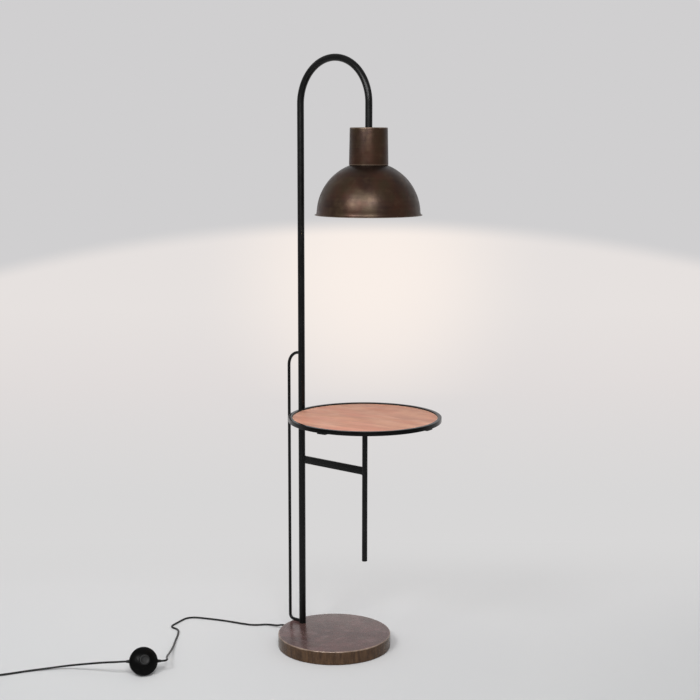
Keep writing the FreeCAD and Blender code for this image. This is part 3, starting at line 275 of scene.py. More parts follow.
@dataclass(frozen=True)
class AntiqueBronze(Finish):
    """Spun steel with a brown metallic lacquer rubbed back by hand: cloudy browns, faint lines round the
    axis, a lighter edge line that is part rubbed bare and part painted highlight, painted shade in the
    corner under the neck and on the base's upright side, and a grey sheen where it is seen at a low angle."""

    axis_x: float = 0.0
    deep: str = "#28150c"
    warm: str = "#391f12"
    olive: str = "#332515"
    rubbed: str = "#4c3a29"
    painted_shade_under_neck: str = "#150a07"
    edge: str = "#a08c78"
    shaded_side: str = "#5a4430"
    shaded_side_deep: str = "#3b2b1e"
    shaded_side_share: float = 0.0
    flank_coat: float = 0.22
    metal: float = 0.62
    coat: float = 0.5
    gloss: float = 0.35
    marks: float = 0.3
    painted_shade_top_z: float = 0.0
    foot_z: float = 0.0
    edge_z: float = 0.0
    edge_radius: float = 0.0
    edge_span: tuple[float, float] = (0.8 * MM, 3 * MM)
    edge_waver: float = 4 * MM
    edge_share: float = 0.7

    def surface(self, tree: NodeTree, place: NodeSocket) -> dict:
        """Three browns in clouds, rubbed patches, spinning lines, painted shade where asked, and a lighter
        edge line that is part rubbed bare and part painted highlight.
        """
        centred = add_node(tree, "VectorMath", {"operation": "SUBTRACT", "Vector": place,
                                                "Vector_001": (self.axis_x, 0, 0)})
        browns = tint(self.deep, self.warm, cloud(place, 60, 5), [(0.4, 0.0), (0.6, 1.0)])
        browns = tint(browns, self.olive, cloud(centred, 40, 4), [(0.45, 0.0), (0.65, 0.9)])
        browns = tint(browns, self.rubbed, cloud(centred, 24, 5), [(0.52, 0.0), (0.8, 0.6)])
        # Lines left by the spinning tool run round the axis: the pattern depends on height and radius.
        x, y, height = add_node(tree, "SeparateXYZ", {"Vector": centred}).outputs
        flat = add_node(tree, "CombineXYZ", {"X": x, "Y": y})
        radius = add_node(tree, "VectorMath", {"operation": "LENGTH", "Vector": flat})
        lines = cloud(add_node(tree, "CombineXYZ", {"X": radius, "Z": height}), 2.2, 2)
        browns = tint(browns, self.rubbed, lines, [(0.35, 0.0), (0.75, 0.2)])
        if self.painted_shade_top_z:
            # Painted shade: the dome is darkened in the corner under the neck, where the neck's shade
            # falls.
            span = self.painted_shade_top_z - 28 * MM, self.painted_shade_top_z - 9 * MM
            browns = fade(browns, self.painted_shade_under_neck, height, span, (0.0, 0.9), "SMOOTHSTEP")
        if self.foot_z:
            # The rolled foot is drawn a little lighter.
            span = self.foot_z + 0.8 * MM, self.foot_z + 2.6 * MM
            browns = fade(browns, self.edge, height, span, (0.5, 0.0))
        coat = self.coat
        if self.shaded_side_share:
            # Painted light and shade: the upright side takes darker, browner colours than the paler top,
            # laid in short upright streaks, and a thinner coat.
            normal = add_node(tree, "NewGeometry").outputs["Normal"]
            rise = add_node(tree, "SeparateXYZ", {"Vector": normal}).outputs["Z"]
            level = add_node(tree, "Math", {"operation": "ABSOLUTE", "Value": rise})
            streaks = cloud(centred, 5, 5, (1, 1, 6)), [(0.35, self.shaded_side_deep), (0.7, self.shaded_side)]
            browns = tint(browns, streaks, level, [(0.3, self.shaded_side_share), (0.8, 0.0)])
            coat = level, [(0.3, self.flank_coat), (0.8, self.coat)]
        if self.edge_radius:
            # A lighter line along the edge, part rubbed bare and part painted highlight, wavers in width
            # along it.
            above, beside = (add_node(tree, "Math", {"operation": "ABSOLUTE", "Value": add_node(
                tree, "Math", {"operation": "SUBTRACT", "Value": along, "Value_001": edge})})
                for along, edge in ((height, self.edge_z), (radius, self.edge_radius)))
            waver = add_node(tree, "Math", {
                "operation": "MULTIPLY_ADD", "Value": cloud(place, 14, 5), "Value_001": self.edge_waver,
                "Value_002": -self.edge_waver / 2})
            reach = add_node(tree, "Math", {"operation": "ADD", "Value": above, "Value_001": beside})
            reach = add_node(tree, "Math", {"operation": "ADD", "Value": reach, "Value_001": waver})
            browns = fade(browns, self.edge, reach, self.edge_span, (self.edge_share, 0.0))
        return {"Base Color": browns, "Metallic": self.metal, "Specular IOR Level": coat,
                "Roughness": (cloud(centred, 16, 4), [(0.3, self.gloss - 0.04), (0.7, self.gloss + 0.08)]),
                "relief": (lines, self.marks, 0.06)}


@dataclass(frozen=True)
class LacqueredWood(Finish):
    """Pinkish tan hardwood boards, sanded and matt lacquered: long soft streaks along the grain, thin
    darker lines and open pores."""

    centre_x: float = 0.0
    turn: float = 0.0
    radius: float = 0.19

    def surface(self, tree: NodeTree, place: NodeSocket) -> dict:
        """Streaks, growth lines and pores, all drawn out along the grain, and a painted highlight along the
        edge.
        """
        centred = add_node(tree, "VectorMath", {"operation": "SUBTRACT", "Vector": place,
                                                "Vector_001": (self.centre_x, 0, 0)})
        along = add_node(tree, "VectorRotate", {"rotation_type": "Z_AXIS", "Vector": centred,
                                                "Angle": -self.turn})
        bent = add_node(tree, "VectorMath", {
            "operation": "MULTIPLY_ADD", "Vector": cloud(along, 110, 2, (3, 1, 1)),
            "Vector_001": (0, 0.07, 0), "Vector_002": along})
        streaks, blotches = cloud(bent, 24, 5, (9, 1, 1)), cloud(bent, 42, 6, (1.7, 1, 1))
        pores = cloud(bent, 1.6, 2, (14, 1, 1))
        base = streaks, [(0.3, "#b07c66"), (0.46, "#bf8c75"), (0.6, "#c9977e"), (0.78, "#bb866f")]
        for colour, pattern, stops in (
            ("#ab705c", blotches, [(0.36, 0.4), (0.5, 0.0)]),
            ("#d6a68f", blotches, [(0.52, 0.0), (0.7, 0.6)]),
            ("#cb8570", cloud(along, 90, 3, (1.6, 1, 1)), [(0.45, 0.0), (0.64, 0.55)]),
            ("#966250", cloud(bent, 3.5, 6, (22, 1, 1)), [(0.52, 0.0), (0.75, 0.45)]),
            ("#7a4c38", pores, [(0.68, 0.0), (0.8, 0.4)]),
        ):
            base = tint(base, colour, pattern, stops)
        # Painted highlight: a paler band along the boards' rounded edge.
        flat = add_node(tree, "VectorMath", {"operation": "MULTIPLY", "Vector": centred,
                                             "Vector_001": (1, 1, 0)})
        out = add_node(tree, "VectorMath", {"operation": "LENGTH", "Vector": flat})
        span = self.radius - 2.6 * MM, self.radius - 1.2 * MM
        return {"Base Color": fade(base, "#dcb8a4", out, span, (0.0, 0.75)),
                "Roughness": (streaks, [(0.3, 0.46), (0.7, 0.6)]),
                "relief": (pores, 0.4, -0.12)}


@dataclass(frozen=True)
class Moulded(Finish):
    """Injection-moulded plastic or extruded PVC: even colour, and a skin that is glossy or grained."""

    colour: str = "#111112"
    gloss: float = 0.2
    grain_mm: float = 1.5
    grain: float = 0.15
    sheen: float = 0.5

    def surface(self, tree: NodeTree, place: NodeSocket) -> dict:
        """One colour, dust-like changes of gloss and a fine grain."""
        return {"Base Color": self.colour, "IOR": 1.5, "Specular IOR Level": self.sheen,
                "Roughness": (cloud(place, 9, 5), [(0.35, self.gloss), (0.75, self.gloss + 0.12)]),
                "relief": (cloud(place, self.grain_mm, 2), self.grain, 0.03)}


@dataclass(frozen=True)
class BareMetal(Finish):
    """Turned, drawn or plated metal with fine marks and small changes of tone."""

    colour: str = "#b9babc"
    dull: str = "#8e8f90"
    gloss: float = 0.3

    def surface(self, tree: NodeTree, place: NodeSocket) -> dict:
        """A metallic surface with cloudy tarnish."""
        return {"Base Color": tint(self.colour, self.dull, cloud(place, 7, 5), [(0.4, 0.0), (0.75, 0.8)]),
                "Metallic": 1.0,
                "Roughness": (cloud(place, 4), [(0.3, self.gloss), (0.8, self.gloss + 0.2)]),
                "relief": (cloud(place, 1.2, 2), 0.3, 0.03)}


@dataclass(frozen=True)
class Casting(Finish):
    """Sand-cast grey iron: dark, rough and pitted."""

    def surface(self, tree: NodeTree, place: NodeSocket) -> dict:
        """Mottled grey with a coarse skin."""
        return {"Base Color": (cloud(place, 6, 6), [(0.35, "#3a3a3c"), (0.7, "#565453")]),
                "Metallic": 0.6, "Roughness": 0.75, "relief": (cloud(place, 2.5, 5), 0.6, 0.4)}


@dataclass(frozen=True)
class Foam(Finish):
    """Closed-cell foam sheet: matt, dark and finely pored."""

    cell_mm: float = 1.8

    def surface(self, tree: NodeTree, place: NodeSocket) -> dict:
        """Small round cells under a matt skin."""
        cells = add_node(tree, "TexVoronoi", {"Vector": place, "Scale": 1 / (self.cell_mm * MM)})
        return {"Base Color": (cells, [(0.1, "#101011"), (0.6, "#232324")]), "Roughness": 0.9,
                "relief": (cells, 0.5, 0.25)}


@dataclass(frozen=True)
class Enamel(Finish):
    """Sprayed white enamel inside the shade: smooth, satin, and a little uneven."""

    def surface(self, tree: NodeTree, place: NodeSocket) -> dict:
        """Off-white with a faint spray texture."""
        return {"Base Color": tint("#e9e4d9", "#ddd6c8", cloud(place, 50), [(0.4, 0.0), (0.7, 0.5)]),
                "Roughness": 0.42, "relief": (cloud(place, 2.0, 2), 0.4, 0.05)}


@dataclass(frozen=True)
class OpalGlass(Finish):
    """Blown glass with a white coating inside, lit from within: even, warm and slightly glossy."""

    glow: float = 12.0

    def surface(self, tree: NodeTree, place: NodeSocket) -> dict:
        """A white skin that gives off a soft warm light, with faint cloudy changes of tone."""
        tone = cloud(place, 30, 2), [(0.3, "#fff4e2"), (0.7, "#fff1dc")]
        return {"Base Color": tone, "Emission Color": tone, "Emission Strength": self.glow,
                "Roughness": 0.22, "IOR": 1.5}


class Finishes:
    """Every finish of the lamp, each named for its real material and process."""

    powder = PowderCoat("powder_coated_steel_satin_black", "black_steel")
    rim = PowderCoat("powder_coated_steel_rim_satin_black", "black_steel", gloss=0.14, peel=0.1, sheen=0.14)
    weld = PowderCoat("powder_coated_weld_satin_black", "black_steel", worn="#1c1c1c", peel_mm=3.5)
    abs_gloss = Moulded("abs_moulded_gloss_black", "switch_plastic", "#030303", 0.3, 2.0, 0.3, 0.08)
    abs_grained = Moulded("abs_moulded_grained_black", "switch_plastic", "#080808", 0.36, 1.4, 0.6, 0.22)
    pvc = Moulded("pvc_extruded_black", "cord_pvc", "#0a0a0a", 0.34, 1.6, 0.25, 0.35)
    phenolic = Moulded("phenolic_moulded_black", "", "#151311", 0.28, 1.6, 0.2)
    nylon = Moulded("nylon_moulded_natural", "", "#ddd9cd", 0.45, 1.4, 0.3)
    zinc = BareMetal("steel_zinc_plated", "", "#b7b9bd", "#8d9094")
    wire = BareMetal("spring_steel_drawn", "", "#a9abae", "#85878a", 0.25)
    brass = BareMetal("brass_turned", "", "#c8a25a", "#a8843f", 0.25)
    aluminium = BareMetal("aluminium_rolled_cap", "cap_aluminium", "#c4c6c8", "#a2a4a6", 0.32)
    nickel = BareMetal("brass_nickel_plated_pins", "brass", "#c9c7c0", "#aaa79e", 0.2)
    iron = Casting("grey_iron_sand_cast")
    foam = Foam("foam_sheet_closed_cell")
    enamel = Enamel("white_enamel_sprayed")
    opal = OpalGlass("opal_glass_blown_lit", "bulb_glass")


# ------------------------------------------------------------------ meshes

@dataclass(frozen=True)
class Piece:
    """What a visible piece is called, is made of and stands for."""

    name: str
    finish: Finish
    node: str = ""  # the CAD node that it replaces
    slot: str = ""  # where it isn't the finish's own
    body: str = LAMP
    inside: tuple[Finish, ...] = ()  # the finish of faces with the second material index
    sharp: float = 38.0  # edges bent by more than this, in degrees, stay sharp

    def declare(self, item: Object, parts: int) -> Object:
        """Puts an object of the scene on the piece's body, hides the CAD nodes that it replaces, and logs
        it.

        Args:
            item: the object.
            parts: how many faces or points it has, for the log.

        Returns:
            The same object.
        """
        bpy.context.scene.collection.objects.link(item)
        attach(item, self.body)
        if self.node:
            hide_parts(*self.node.split())
        LOG.info("%s: %d faces or points", self.name, parts)
        return item

    def make(self, made: BMesh) -> Object:
        """Turns a mesh into the piece's object.

        Args:
            made: the mesh, freed here.

        Returns:
            The new object.
        """
        bmesh.ops.recalc_face_normals(made, faces=made.faces)
        mesh = bpy.data.meshes.new(self.name)
        made.to_mesh(mesh)
        made.free()
        mesh.shade_smooth()
        mesh.set_sharp_from_angle(angle=math.radians(self.sharp))
        for each in (self.finish, *self.inside):
            mesh.materials.append(each.material())
        return self.declare(bpy.data.objects.new(self.name, mesh), len(mesh.polygons))


def softened(corners: Sequence[Corner], steps: int) -> list[tuple[float, float]]:
    """Rounds the corners of a closed outline.

    Args:
        corners: its corners.
        steps: straight pieces in each rounding.

    Returns:
        The outline's (radius, height) points.
    """
    points: list[tuple[float, float]] = []
    for index, (radius, height, rounding) in enumerate(corners):
        if rounding <= 0:
            points.append((radius, height))
            continue
        here = Vector((radius, height))
        back = Vector(corners[index - 1][:2]) - here
        ahead = Vector(corners[(index + 1) % len(corners)][:2]) - here
        half = back.angle(ahead) / 2
        reach = min(rounding / math.tan(half), MOST_OF_SIDE * back.length, MOST_OF_SIDE * ahead.length)
        size = reach * math.tan(half)
        centre = here + (back.normalized() + ahead.normalized()).normalized() * (size / math.sin(half))
        first = here + back.normalized() * reach - centre
        turn = (here + ahead.normalized() * reach - centre).angle_signed(first)
        points += [tuple(centre + Matrix.Rotation(turn * step / steps, 2) @ first)
                   for step in range(steps + 1)]
    return points


def bridge(made: BMesh, rows: Sequence[Sequence[BMVert]], wrap: bool = True,
           marks: Sequence[int] = ()) -> None:
    """Joins rows of vertices with faces.

    Args:
        made: the mesh.
        rows: the rows in order; a row of one vertex is a tip.
        wrap: whether each row's end joins its start.
        marks: the material index of the faces after each row.
    """
    for index, (low, high) in enumerate(zip(rows, rows[1:])):
        count = max(len(low), len(high))
        for i in range(count if wrap and count > 1 else count - 1):
            j = (i + 1) % count
            ring = (low[i % len(low)], low[j % len(low)], high[j % len(high)], high[i % len(high)])
            made.faces.new(list(dict.fromkeys(ring))).material_index = marks[index] if marks else 0


def circle(count: int) -> list[tuple[float, float]]:
    """Cosine and sine of evenly spaced angles round a circle."""
    return [(math.cos(FULL_TURN * i / count), math.sin(FULL_TURN * i / count)) for i in range(count)]


def lathe(piece: Piece, corners: Sequence[Corner], pose: Matrix, segments: int = 128, steps: int = 6,
          second: Callable[[float, float], bool] = lambda radius, height: False) -> Object:
    """Turns a closed outline about its own Z axis.

    Args:
        piece: what it makes.
        corners: the outline; corners on the axis have a radius of 0.
        pose: where the axis stands.
        segments: faces round the axis.
        steps: straight pieces in each rounding.
        second: says from a face's middle (radius, height) whether it takes the second finish.

    Returns:
        The new object.
    """
    made = bmesh.new()
    outline = softened(corners, steps)
    outline.append(outline[0])
    rings = [[made.verts.new(pose @ Vector((radius * cos, radius * sin, height)))
              for cos, sin in circle(segments if radius > ON_AXIS else 1)]
             for radius, height in outline[:-1]]
    marks = [int(second((r0 + r1) / 2, (z0 + z1) / 2)) for (r0, z0), (r1, z1) in zip(outline, outline[1:])]
    bridge(made, rings + rings[:1], marks=marks)
    return piece.make(made)


def sweep(piece: Piece, path: Sequence[Vector], radius: float | Callable[[float], float], sides: int = 48,
          closed: bool = False, edge: float = 0.0) -> Object:
    """Runs a round section along a path.

    Args:
        piece: what it makes.
        path: the points of the path, in the row's frame.
        radius: the section's radius, or the radius after a distance along the path.
        sides: faces round the section.
        closed: whether the path's end joins its start.
        edge: how far the ends are chamfered.

    Returns:
        The new object.
    """
    made = bmesh.new()
    count = len(path)
    rings, travelled = [], 0.0
    across = (path[1] - path[0]).normalized().orthogonal().normalized()
    for index, point in enumerate(path):
        before = path[index - 1] if closed or index else path[0]
        after = path[(index + 1) % count] if closed or index < count - 1 else path[-1]
        way = (after - before).normalized()
        across = (across - way * across.dot(way)).normalized()
        other = way.cross(across)
        if index:
            travelled += (point - path[index - 1]).length
        size = radius(travelled) if callable(radius) else radius
        if not closed and index in (0, count - 1):
            size -= edge
        rings.append([made.verts.new(point + across * (size * cos) + other * (size * sin))
                      for cos, sin in circle(sides)])
    if closed:
        bridge(made, rings + rings[:1])
    else:
        bridge(made, rings)
        made.faces.new(rings[0])
        made.faces.new(rings[-1])
    return piece.make(made)


def rounded_bar(piece: Piece, low: Vector, high: Vector, edge: float) -> Object:
    """A flat bar with rolled edges, between two corners.

    Args:
        piece: what it makes.
        low: its lowest corner.
        high: its highest corner.
        edge: radius of its edges.

    Returns:
        The new object.
    """
    made = bmesh.new()
    bmesh.ops.create_cube(made, size=1)
    for corner in made.verts:
        corner.co = [corner.co[i] * (high[i] - low[i]) + (low[i] + high[i]) / 2 for i in range(3)]
    bmesh.ops.bevel(made, geom=list(made.edges), offset=edge, segments=4, profile=0.5, affect="EDGES")
    return piece.make(made)


def arc(centre: Vector, start: Vector, axis: Vector, degrees: float, steps: int) -> list[Vector]:
    """Points of an arc, without its first.

    Args:
        centre: the arc's centre.
        start: its first point.
        axis: what it turns about, by the right-hand rule.
        degrees: how far it turns.
        steps: how many points.

    Returns:
        The points.
    """
    return [centre + Matrix.Rotation(math.radians(degrees) * i / steps, 3, axis) @ (start - centre)
            for i in range(1, steps + 1)]


def spread(first: float, last: float, steps: int, start: int = 0) -> list[float]:
    """Evenly spaced values between two, both of which are in, from the given step on."""
    return [first + (last - first) * i / steps for i in range(start, steps + 1)]


def standing(x: float = 0.0) -> Matrix:
    """The pose of an upright axis."""
    return Matrix.Translation((x, 0, 0))


def box(node: str) -> tuple[Vector, Vector]:
    """A node's lowest and highest corners."""
    low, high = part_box(node)
    return Vector(low), Vector(high)


def round_box(node: str) -> tuple[Vector, Vector, float, float]:
    """A node's lowest and highest corners, x of its middle, and half its length along X."""
    low, high = box(node)
    return low, high, (low.x + high.x) / 2, (high.x - low.x) / 2


class Assembly:
    """A part of the lamp. Some of its pieces are built anew, and those inside only get a finish."""

    inner: ClassVar[tuple[tuple[Finish, str], ...]] = ()

    def dress(self) -> list[Object]:
        """Gives the inner nodes their finishes, and leaves their shapes.

        Returns:
            Their objects.
        """
        pieces = []
        for finish, nodes in self.inner:
            for name in nodes.split():
                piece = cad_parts[name]
                for slot in piece.material_slots:
                    slot.material = finish.material()
                LOG.info("%s: %s", name, finish.name)
                pieces.append(piece)
        return pieces


# ------------------------------------------------------------------ camera, stage and light

@dataclass
class Studio:
    """The camera, the pale floor, the backdrop that the lamp's own light falls on, and the soft lamps."""

    floor_near: str = "#cccdce"
    floor_back: str = "#e8e8e9"
    floor_far: str = "#d8d7d7"
    wall_foot: str = "#e1dcdb"
    wall_lit: str = "#e6e1df"
    wall_above: str = "#d0cfd0"
    wall_glow: str = "#f9efe8"
    floor_size: float = 14.0
    floor_drop: float = 0.2 * MM
    wall_distance: float = 3.8
    cove_radius: float = 0.4
    wall_height: float = 6.0
    floor_span: tuple[float, float] = (-0.4, 0.5)
    foot_span: tuple[float, float] = (1.6, 4.2)
    rise_span: tuple[float, float] = (0.0, 0.4)
    far_span: tuple[float, float] = (-0.1, 1.0)
    light_edge: float = 0.866
    edge_blur: float = 0.06
    arch: float = 0.06
    glow_side: float = 0.155
    glow_height: float = 0.64
    glow_reach: float = 1.15
    world_level: float = 0.45
    softbox_size: float = 1.0
    softbox_watts: float = 48.0
    softbox_height: float = 2.45
    target_height: float = 1.05

    def __post_init__(self) -> None:
        """Works out the level directions of the picture."""
        self.ahead = Vector((CAMERA_AHEAD.x, CAMERA_AHEAD.y, 0)).normalized()
        self.side = self.ahead.cross(Z)

    def build_camera(self) -> None:
        """Sets up the fitted camera."""
        data = bpy.data.cameras.new("camera")
        data.sensor_width = SENSOR_MM
        data.lens = CAMERA_FOCAL_PIXELS / PICTURE_PIXELS * SENSOR_MM
        data.clip_end = CAMERA_REACH
        ahead = CAMERA_AHEAD.normalized()
        right = ahead.cross(Z).normalized()
        up = right.cross(ahead)
        cos, sin = math.cos(CAMERA_ROLL), math.sin(CAMERA_ROLL)
        turn = Matrix((right * cos + up * sin, up * cos - right * sin, -ahead)).transposed()
        camera = bpy.data.objects.new("camera", data)
        camera.matrix_world = Matrix.Translation(CAMERA_PLACE) @ turn.to_4x4()
        bpy.context.scene.collection.objects.link(camera)
        bpy.context.scene.camera = camera

    def build_backdrop(self) -> None:
        """Makes the floor, which curves up behind the lamp into a wall."""
        line = [(-self.floor_size, 0.0), (self.wall_distance, 0.0)]
        line += [(self.wall_distance + self.cove_radius * math.sin(a), self.cove_radius * (1 - math.cos(a)))
                 for a in spread(0, QUARTER_TURN, 24, 1)]
        line.append((self.wall_distance + self.cove_radius, self.wall_height))
        made = bmesh.new()
        bridge(made, [[made.verts.new(self.ahead * out + self.side * (self.floor_size * s)
                                      + Z * (up - self.floor_drop)) for s in (-1, 1)]
                      for out, up in line], wrap=False)
        mesh = bpy.data.meshes.new("backdrop")
        made.to_mesh(mesh)
        made.free()
        mesh.shade_smooth()
        mesh.materials.append(self.paper())
        backdrop = bpy.data.objects.new("backdrop", mesh)
        bpy.context.scene.collection.objects.link(backdrop)

    def paper(self) -> Material:
        """Seamless background paper: matt, and lit by the studio on the floor round the lamp. Far behind
        it, what the camera sees fades into the light of the shade's own bulb on the wall: warm below a
        soft arched edge, and cool grey above it.

        Returns:
            The material.
        """
        made = bpy.data.materials.new("seamless_paper_matt")
        made.use_nodes = True
        tree = made.node_tree
        place = add_node(tree, "TexCoord").outputs["Object"]
        height = add_node(tree, "SeparateXYZ", {"Vector": place}).outputs["Z"]
        across, out = (add_node(tree, "VectorMath", {"operation": "DOT_PRODUCT", "Vector": place,
                                                     "Vector_001": way}) for way in (self.side, self.ahead))
        spot = self.ahead * (self.wall_distance + self.cove_radius) + self.side * self.glow_side \
            + Z * self.glow_height
        away = add_node(tree, "VectorMath", {"operation": "DISTANCE", "Vector": place, "Vector_001": spot})
        lower = fade(self.floor_far, self.wall_foot, out, self.foot_span)
        lower = fade(lower, self.wall_lit, height, self.rise_span)
        lower = fade(lower, self.wall_glow, away, (0.0, self.glow_reach), (1.0, 0.0), "SMOOTHERSTEP")
        off = add_node(tree, "Math", {"operation": "SUBTRACT", "Value": across,
                                      "Value_001": self.glow_side})
        arch = add_node(tree, "Math", {"operation": "MULTIPLY", "Value": off, "Value_001": off})
        level = add_node(tree, "Math", {"operation": "MULTIPLY_ADD", "Value": arch, "Value_001": self.arch,
                                        "Value_002": height})
        span = self.light_edge - self.edge_blur, self.light_edge + self.edge_blur
        wall = fade(lower, self.wall_above, level, span, ease="SMOOTHSTEP")
        far = add_node(tree, "MapRange", {"interpolation_type": "SMOOTHSTEP", "Value": out,
                                          "From Min": self.far_span[0], "From Max": self.far_span[1]})
        rays = add_node(tree, "LightPath").outputs
        direct = rays["Is Camera Ray"]
        for kind in ("Is Glossy Ray", "Is Transmission Ray"):
            direct = add_node(tree, "Math", {"operation": "MAXIMUM", "Value": direct,
                                             "Value_001": rays[kind]})
        seen = add_node(tree, "Math", {"operation": "MULTIPLY", "Value": far, "Value_001": direct})
        shader = tree.nodes["Principled BSDF"]
        set_up(shader, {"Base Color": fade(self.floor_near, self.floor_back, out, self.floor_span),
                        "Roughness": 0.95, "Specular IOR Level": 0.1})
        glow = add_node(tree, "Emission", {"Color": wall})
        mixed = add_node(tree, "MixShader", {"Fac": seen, "Shader": shader, "Shader_001": glow})
        set_up(tree.nodes["Material Output"], {"Surface": mixed})
        return made

    def build_lights(self) -> None:
        """Two large soft front lights and an even world."""
        world = bpy.data.worlds.new("studio")
        world.use_nodes = True
        set_up(world.node_tree.nodes["Background"], {"Color": "#ffffff", "Strength": self.world_level})
        bpy.context.scene.world = world
        for name, back, across in (("left_softbox", 2.2, -1.3), ("right_softbox", 2.5, 0.15)):
            data = bpy.data.lights.new(name, "AREA")
            data.shape = "RECTANGLE"
            data.size = data.size_y = self.softbox_size
            data.energy = self.softbox_watts
            lamp = bpy.data.objects.new(name, data)
            lamp.location = self.ahead * -back + self.side * across + Z * self.softbox_height
            aim = Z * self.target_height - lamp.location
            lamp.rotation_euler = aim.to_track_quat("-Z", "Y").to_euler()
            bpy.context.scene.collection.objects.link(lamp)


# ------------------------------------------------------------------ the foot switch and the cords

class Port(Enum):
    """The two ends of the foot switch, as signs along its own X axis."""

    LAMP = 1
    PLUG = -1


@dataclass
class FootSwitch(Assembly):
    """The round foot switch that stands tilted on its edge."""

    inner = ((Finishes.nylon, "switch_contact_block cord_clamps"), (Finishes.wire, "button_spring"),
             (Finishes.pvc, "switch_leads"), (Finishes.zinc, "switch_screws"))
    place_x: float = -0.2337
    place_y: float = -0.4706
    azimuth: float = -31.0
    elevation: float = 29.5
    roll: float = -5.5
    radius: float = 0.036
    parting: float = 0.008
    seam: float = 0.3 * MM
    wall: float = 0.002
    height: float = 0.025
    shoulder: float = 0.0345
    dome_radius: float = 0.0484
    button_radius: float = 0.013
    button_top: float = 0.0295
    skirt_top: float = 0.0223
    skirt_foot: float = 0.0203
    post_radius: float = 0.0026
    post_foot: float = 0.0125
    sleeve_reach: float = 0.008
    pose: Matrix = field(init=False)

    def __post_init__(self) -> None:
        """Works out where the switch stands."""
        turn, rise = math.radians(self.azimuth), math.radians(self.elevation)
        way = Vector((math.cos(rise) * math.cos(turn), math.cos(rise) * math.sin(turn), math.sin(rise)))
        side = Vector((-math.sin(turn), math.cos(turn), 0))
        spin = Matrix((side, way.cross(side), way)).transposed().to_4x4()
        foot = Vector((self.place_x, self.place_y, self.radius * math.cos(rise)))
        self.pose = Matrix.Translation(foot) @ spin @ Matrix.Rotation(math.radians(self.roll), 4, "Z")

    def tip(self, port: Port, out: float = 0.0) -> Vector:
        """A point on the cord's axis, from the end of a sleeve outwards.

        Args:
            port: the end of the switch.
            out: distance past the sleeve's end.

        Returns:
            The point in the row's frame.
        """
        return self.pose @ Vector((port.value * (self.radius + self.sleeve_reach + out), 0, self.parting))

    def build(self) -> list[Object]:
        """Makes both shells, the button and the sleeves.

        Returns:
            The pieces that sit on the cord.
        """
        parting, wall, top = self.parting, self.wall, self.button_top
        inner = self.radius - wall
        base = [(0, 0, 0), (self.radius, 0, 0.0012), (self.radius, parting - self.seam, 0.0004),
                (inner, parting - self.seam, 0), (inner, wall, 0), (0, wall, 0)]
        pieces = [lathe(Piece("switch_lower_shell", Finishes.abs_gloss, "switch_base"), base, self.pose)]

        lip, rim = self.button_radius + 0.3 * MM, self.height - 0.2 * MM
        centre = self.height - math.sqrt(self.dome_radius ** 2 - (self.button_radius + MM) ** 2)

        def dome(first: float, last: float, steps: int, start: int, depth: float) -> list[Corner]:
            """Corners along the dome, between two radii and at a depth under its skin."""
            return [(r, centre + math.sqrt(self.dome_radius ** 2 - r ** 2) - depth, 0.0)
                    for r in spread(first, last, steps, start)]

        cover = [(self.radius, parting, 0.0), (self.radius, parting + 0.0026, 0.002),
                 *dome(self.shoulder, lip + 0.0022, 18, 0, 0.0), (lip + 0.0012, rim, 0.0),
                 (lip + 0.3 * MM, rim, 0.0), (lip, self.height - 0.0006, 0.0),
                 (lip, self.height - wall, 0.0), *dome(lip, inner - MM, 12, 1, wall), (inner, parting, 0.0)]
        pieces.append(lathe(Piece("switch_upper_shell", Finishes.abs_gloss, "switch_cover"), cover,
                            self.pose))

        r, post = self.button_radius, self.post_radius
        button = [
            (0, top - 0.0008, 0), (r * 0.55, top - 0.0006, 0.002), (r * 0.72, top, 0.002), (r, top, 0.0016),
            (r, self.skirt_top, 0), (r + wall, self.skirt_top, 0.0003), (r + wall, self.skirt_foot, 0.0003),
            (r - wall, self.skirt_foot, 0), (r - wall, top - wall, 0), (post, top - wall, 0),
            (post, self.post_foot, 0), (0, self.post_foot, 0)]
        pieces.append(lathe(Piece("switch_push_button", Finishes.abs_grained, "switch_button", body=BUTTON),
                            button, self.pose, 96))

        out, tip = self.radius, self.radius + self.sleeve_reach
        sleeve = [
            (0, 0.029, 0), (0.005, 0.029, 0), (0.005, 0.0308, 0), (0.0039, 0.0308, 0),
            (0.0039, out + 0.0001, 0), (0.0043, out + 0.0001, 0.0003), (0.0042, out + 0.0022, 0.0004),
            (0.0037, out + 0.0026, 0.0002), (0.0037, out + 0.0034, 0.0002), (0.0039, out + 0.0038, 0.0004),
            (0.0036, out + 0.0058, 0.0003), (0.0033, tip, 0.0006), (0, tip, 0)]
        for port in Port:
            along = self.pose @ Matrix.Translation((0, 0, parting)) @ Matrix.Rotation(
                port.value * QUARTER_TURN, 4, "Y")
            node = "port_sleeves" if port is Port.LAMP else ""
            pieces.append(lathe(Piece(f"switch_sleeve_{port.name.lower()}_side", Finishes.abs_grained, node,
                                      "cord_pvc"), sleeve, along, 48, 4))
        return pieces + self.dress()


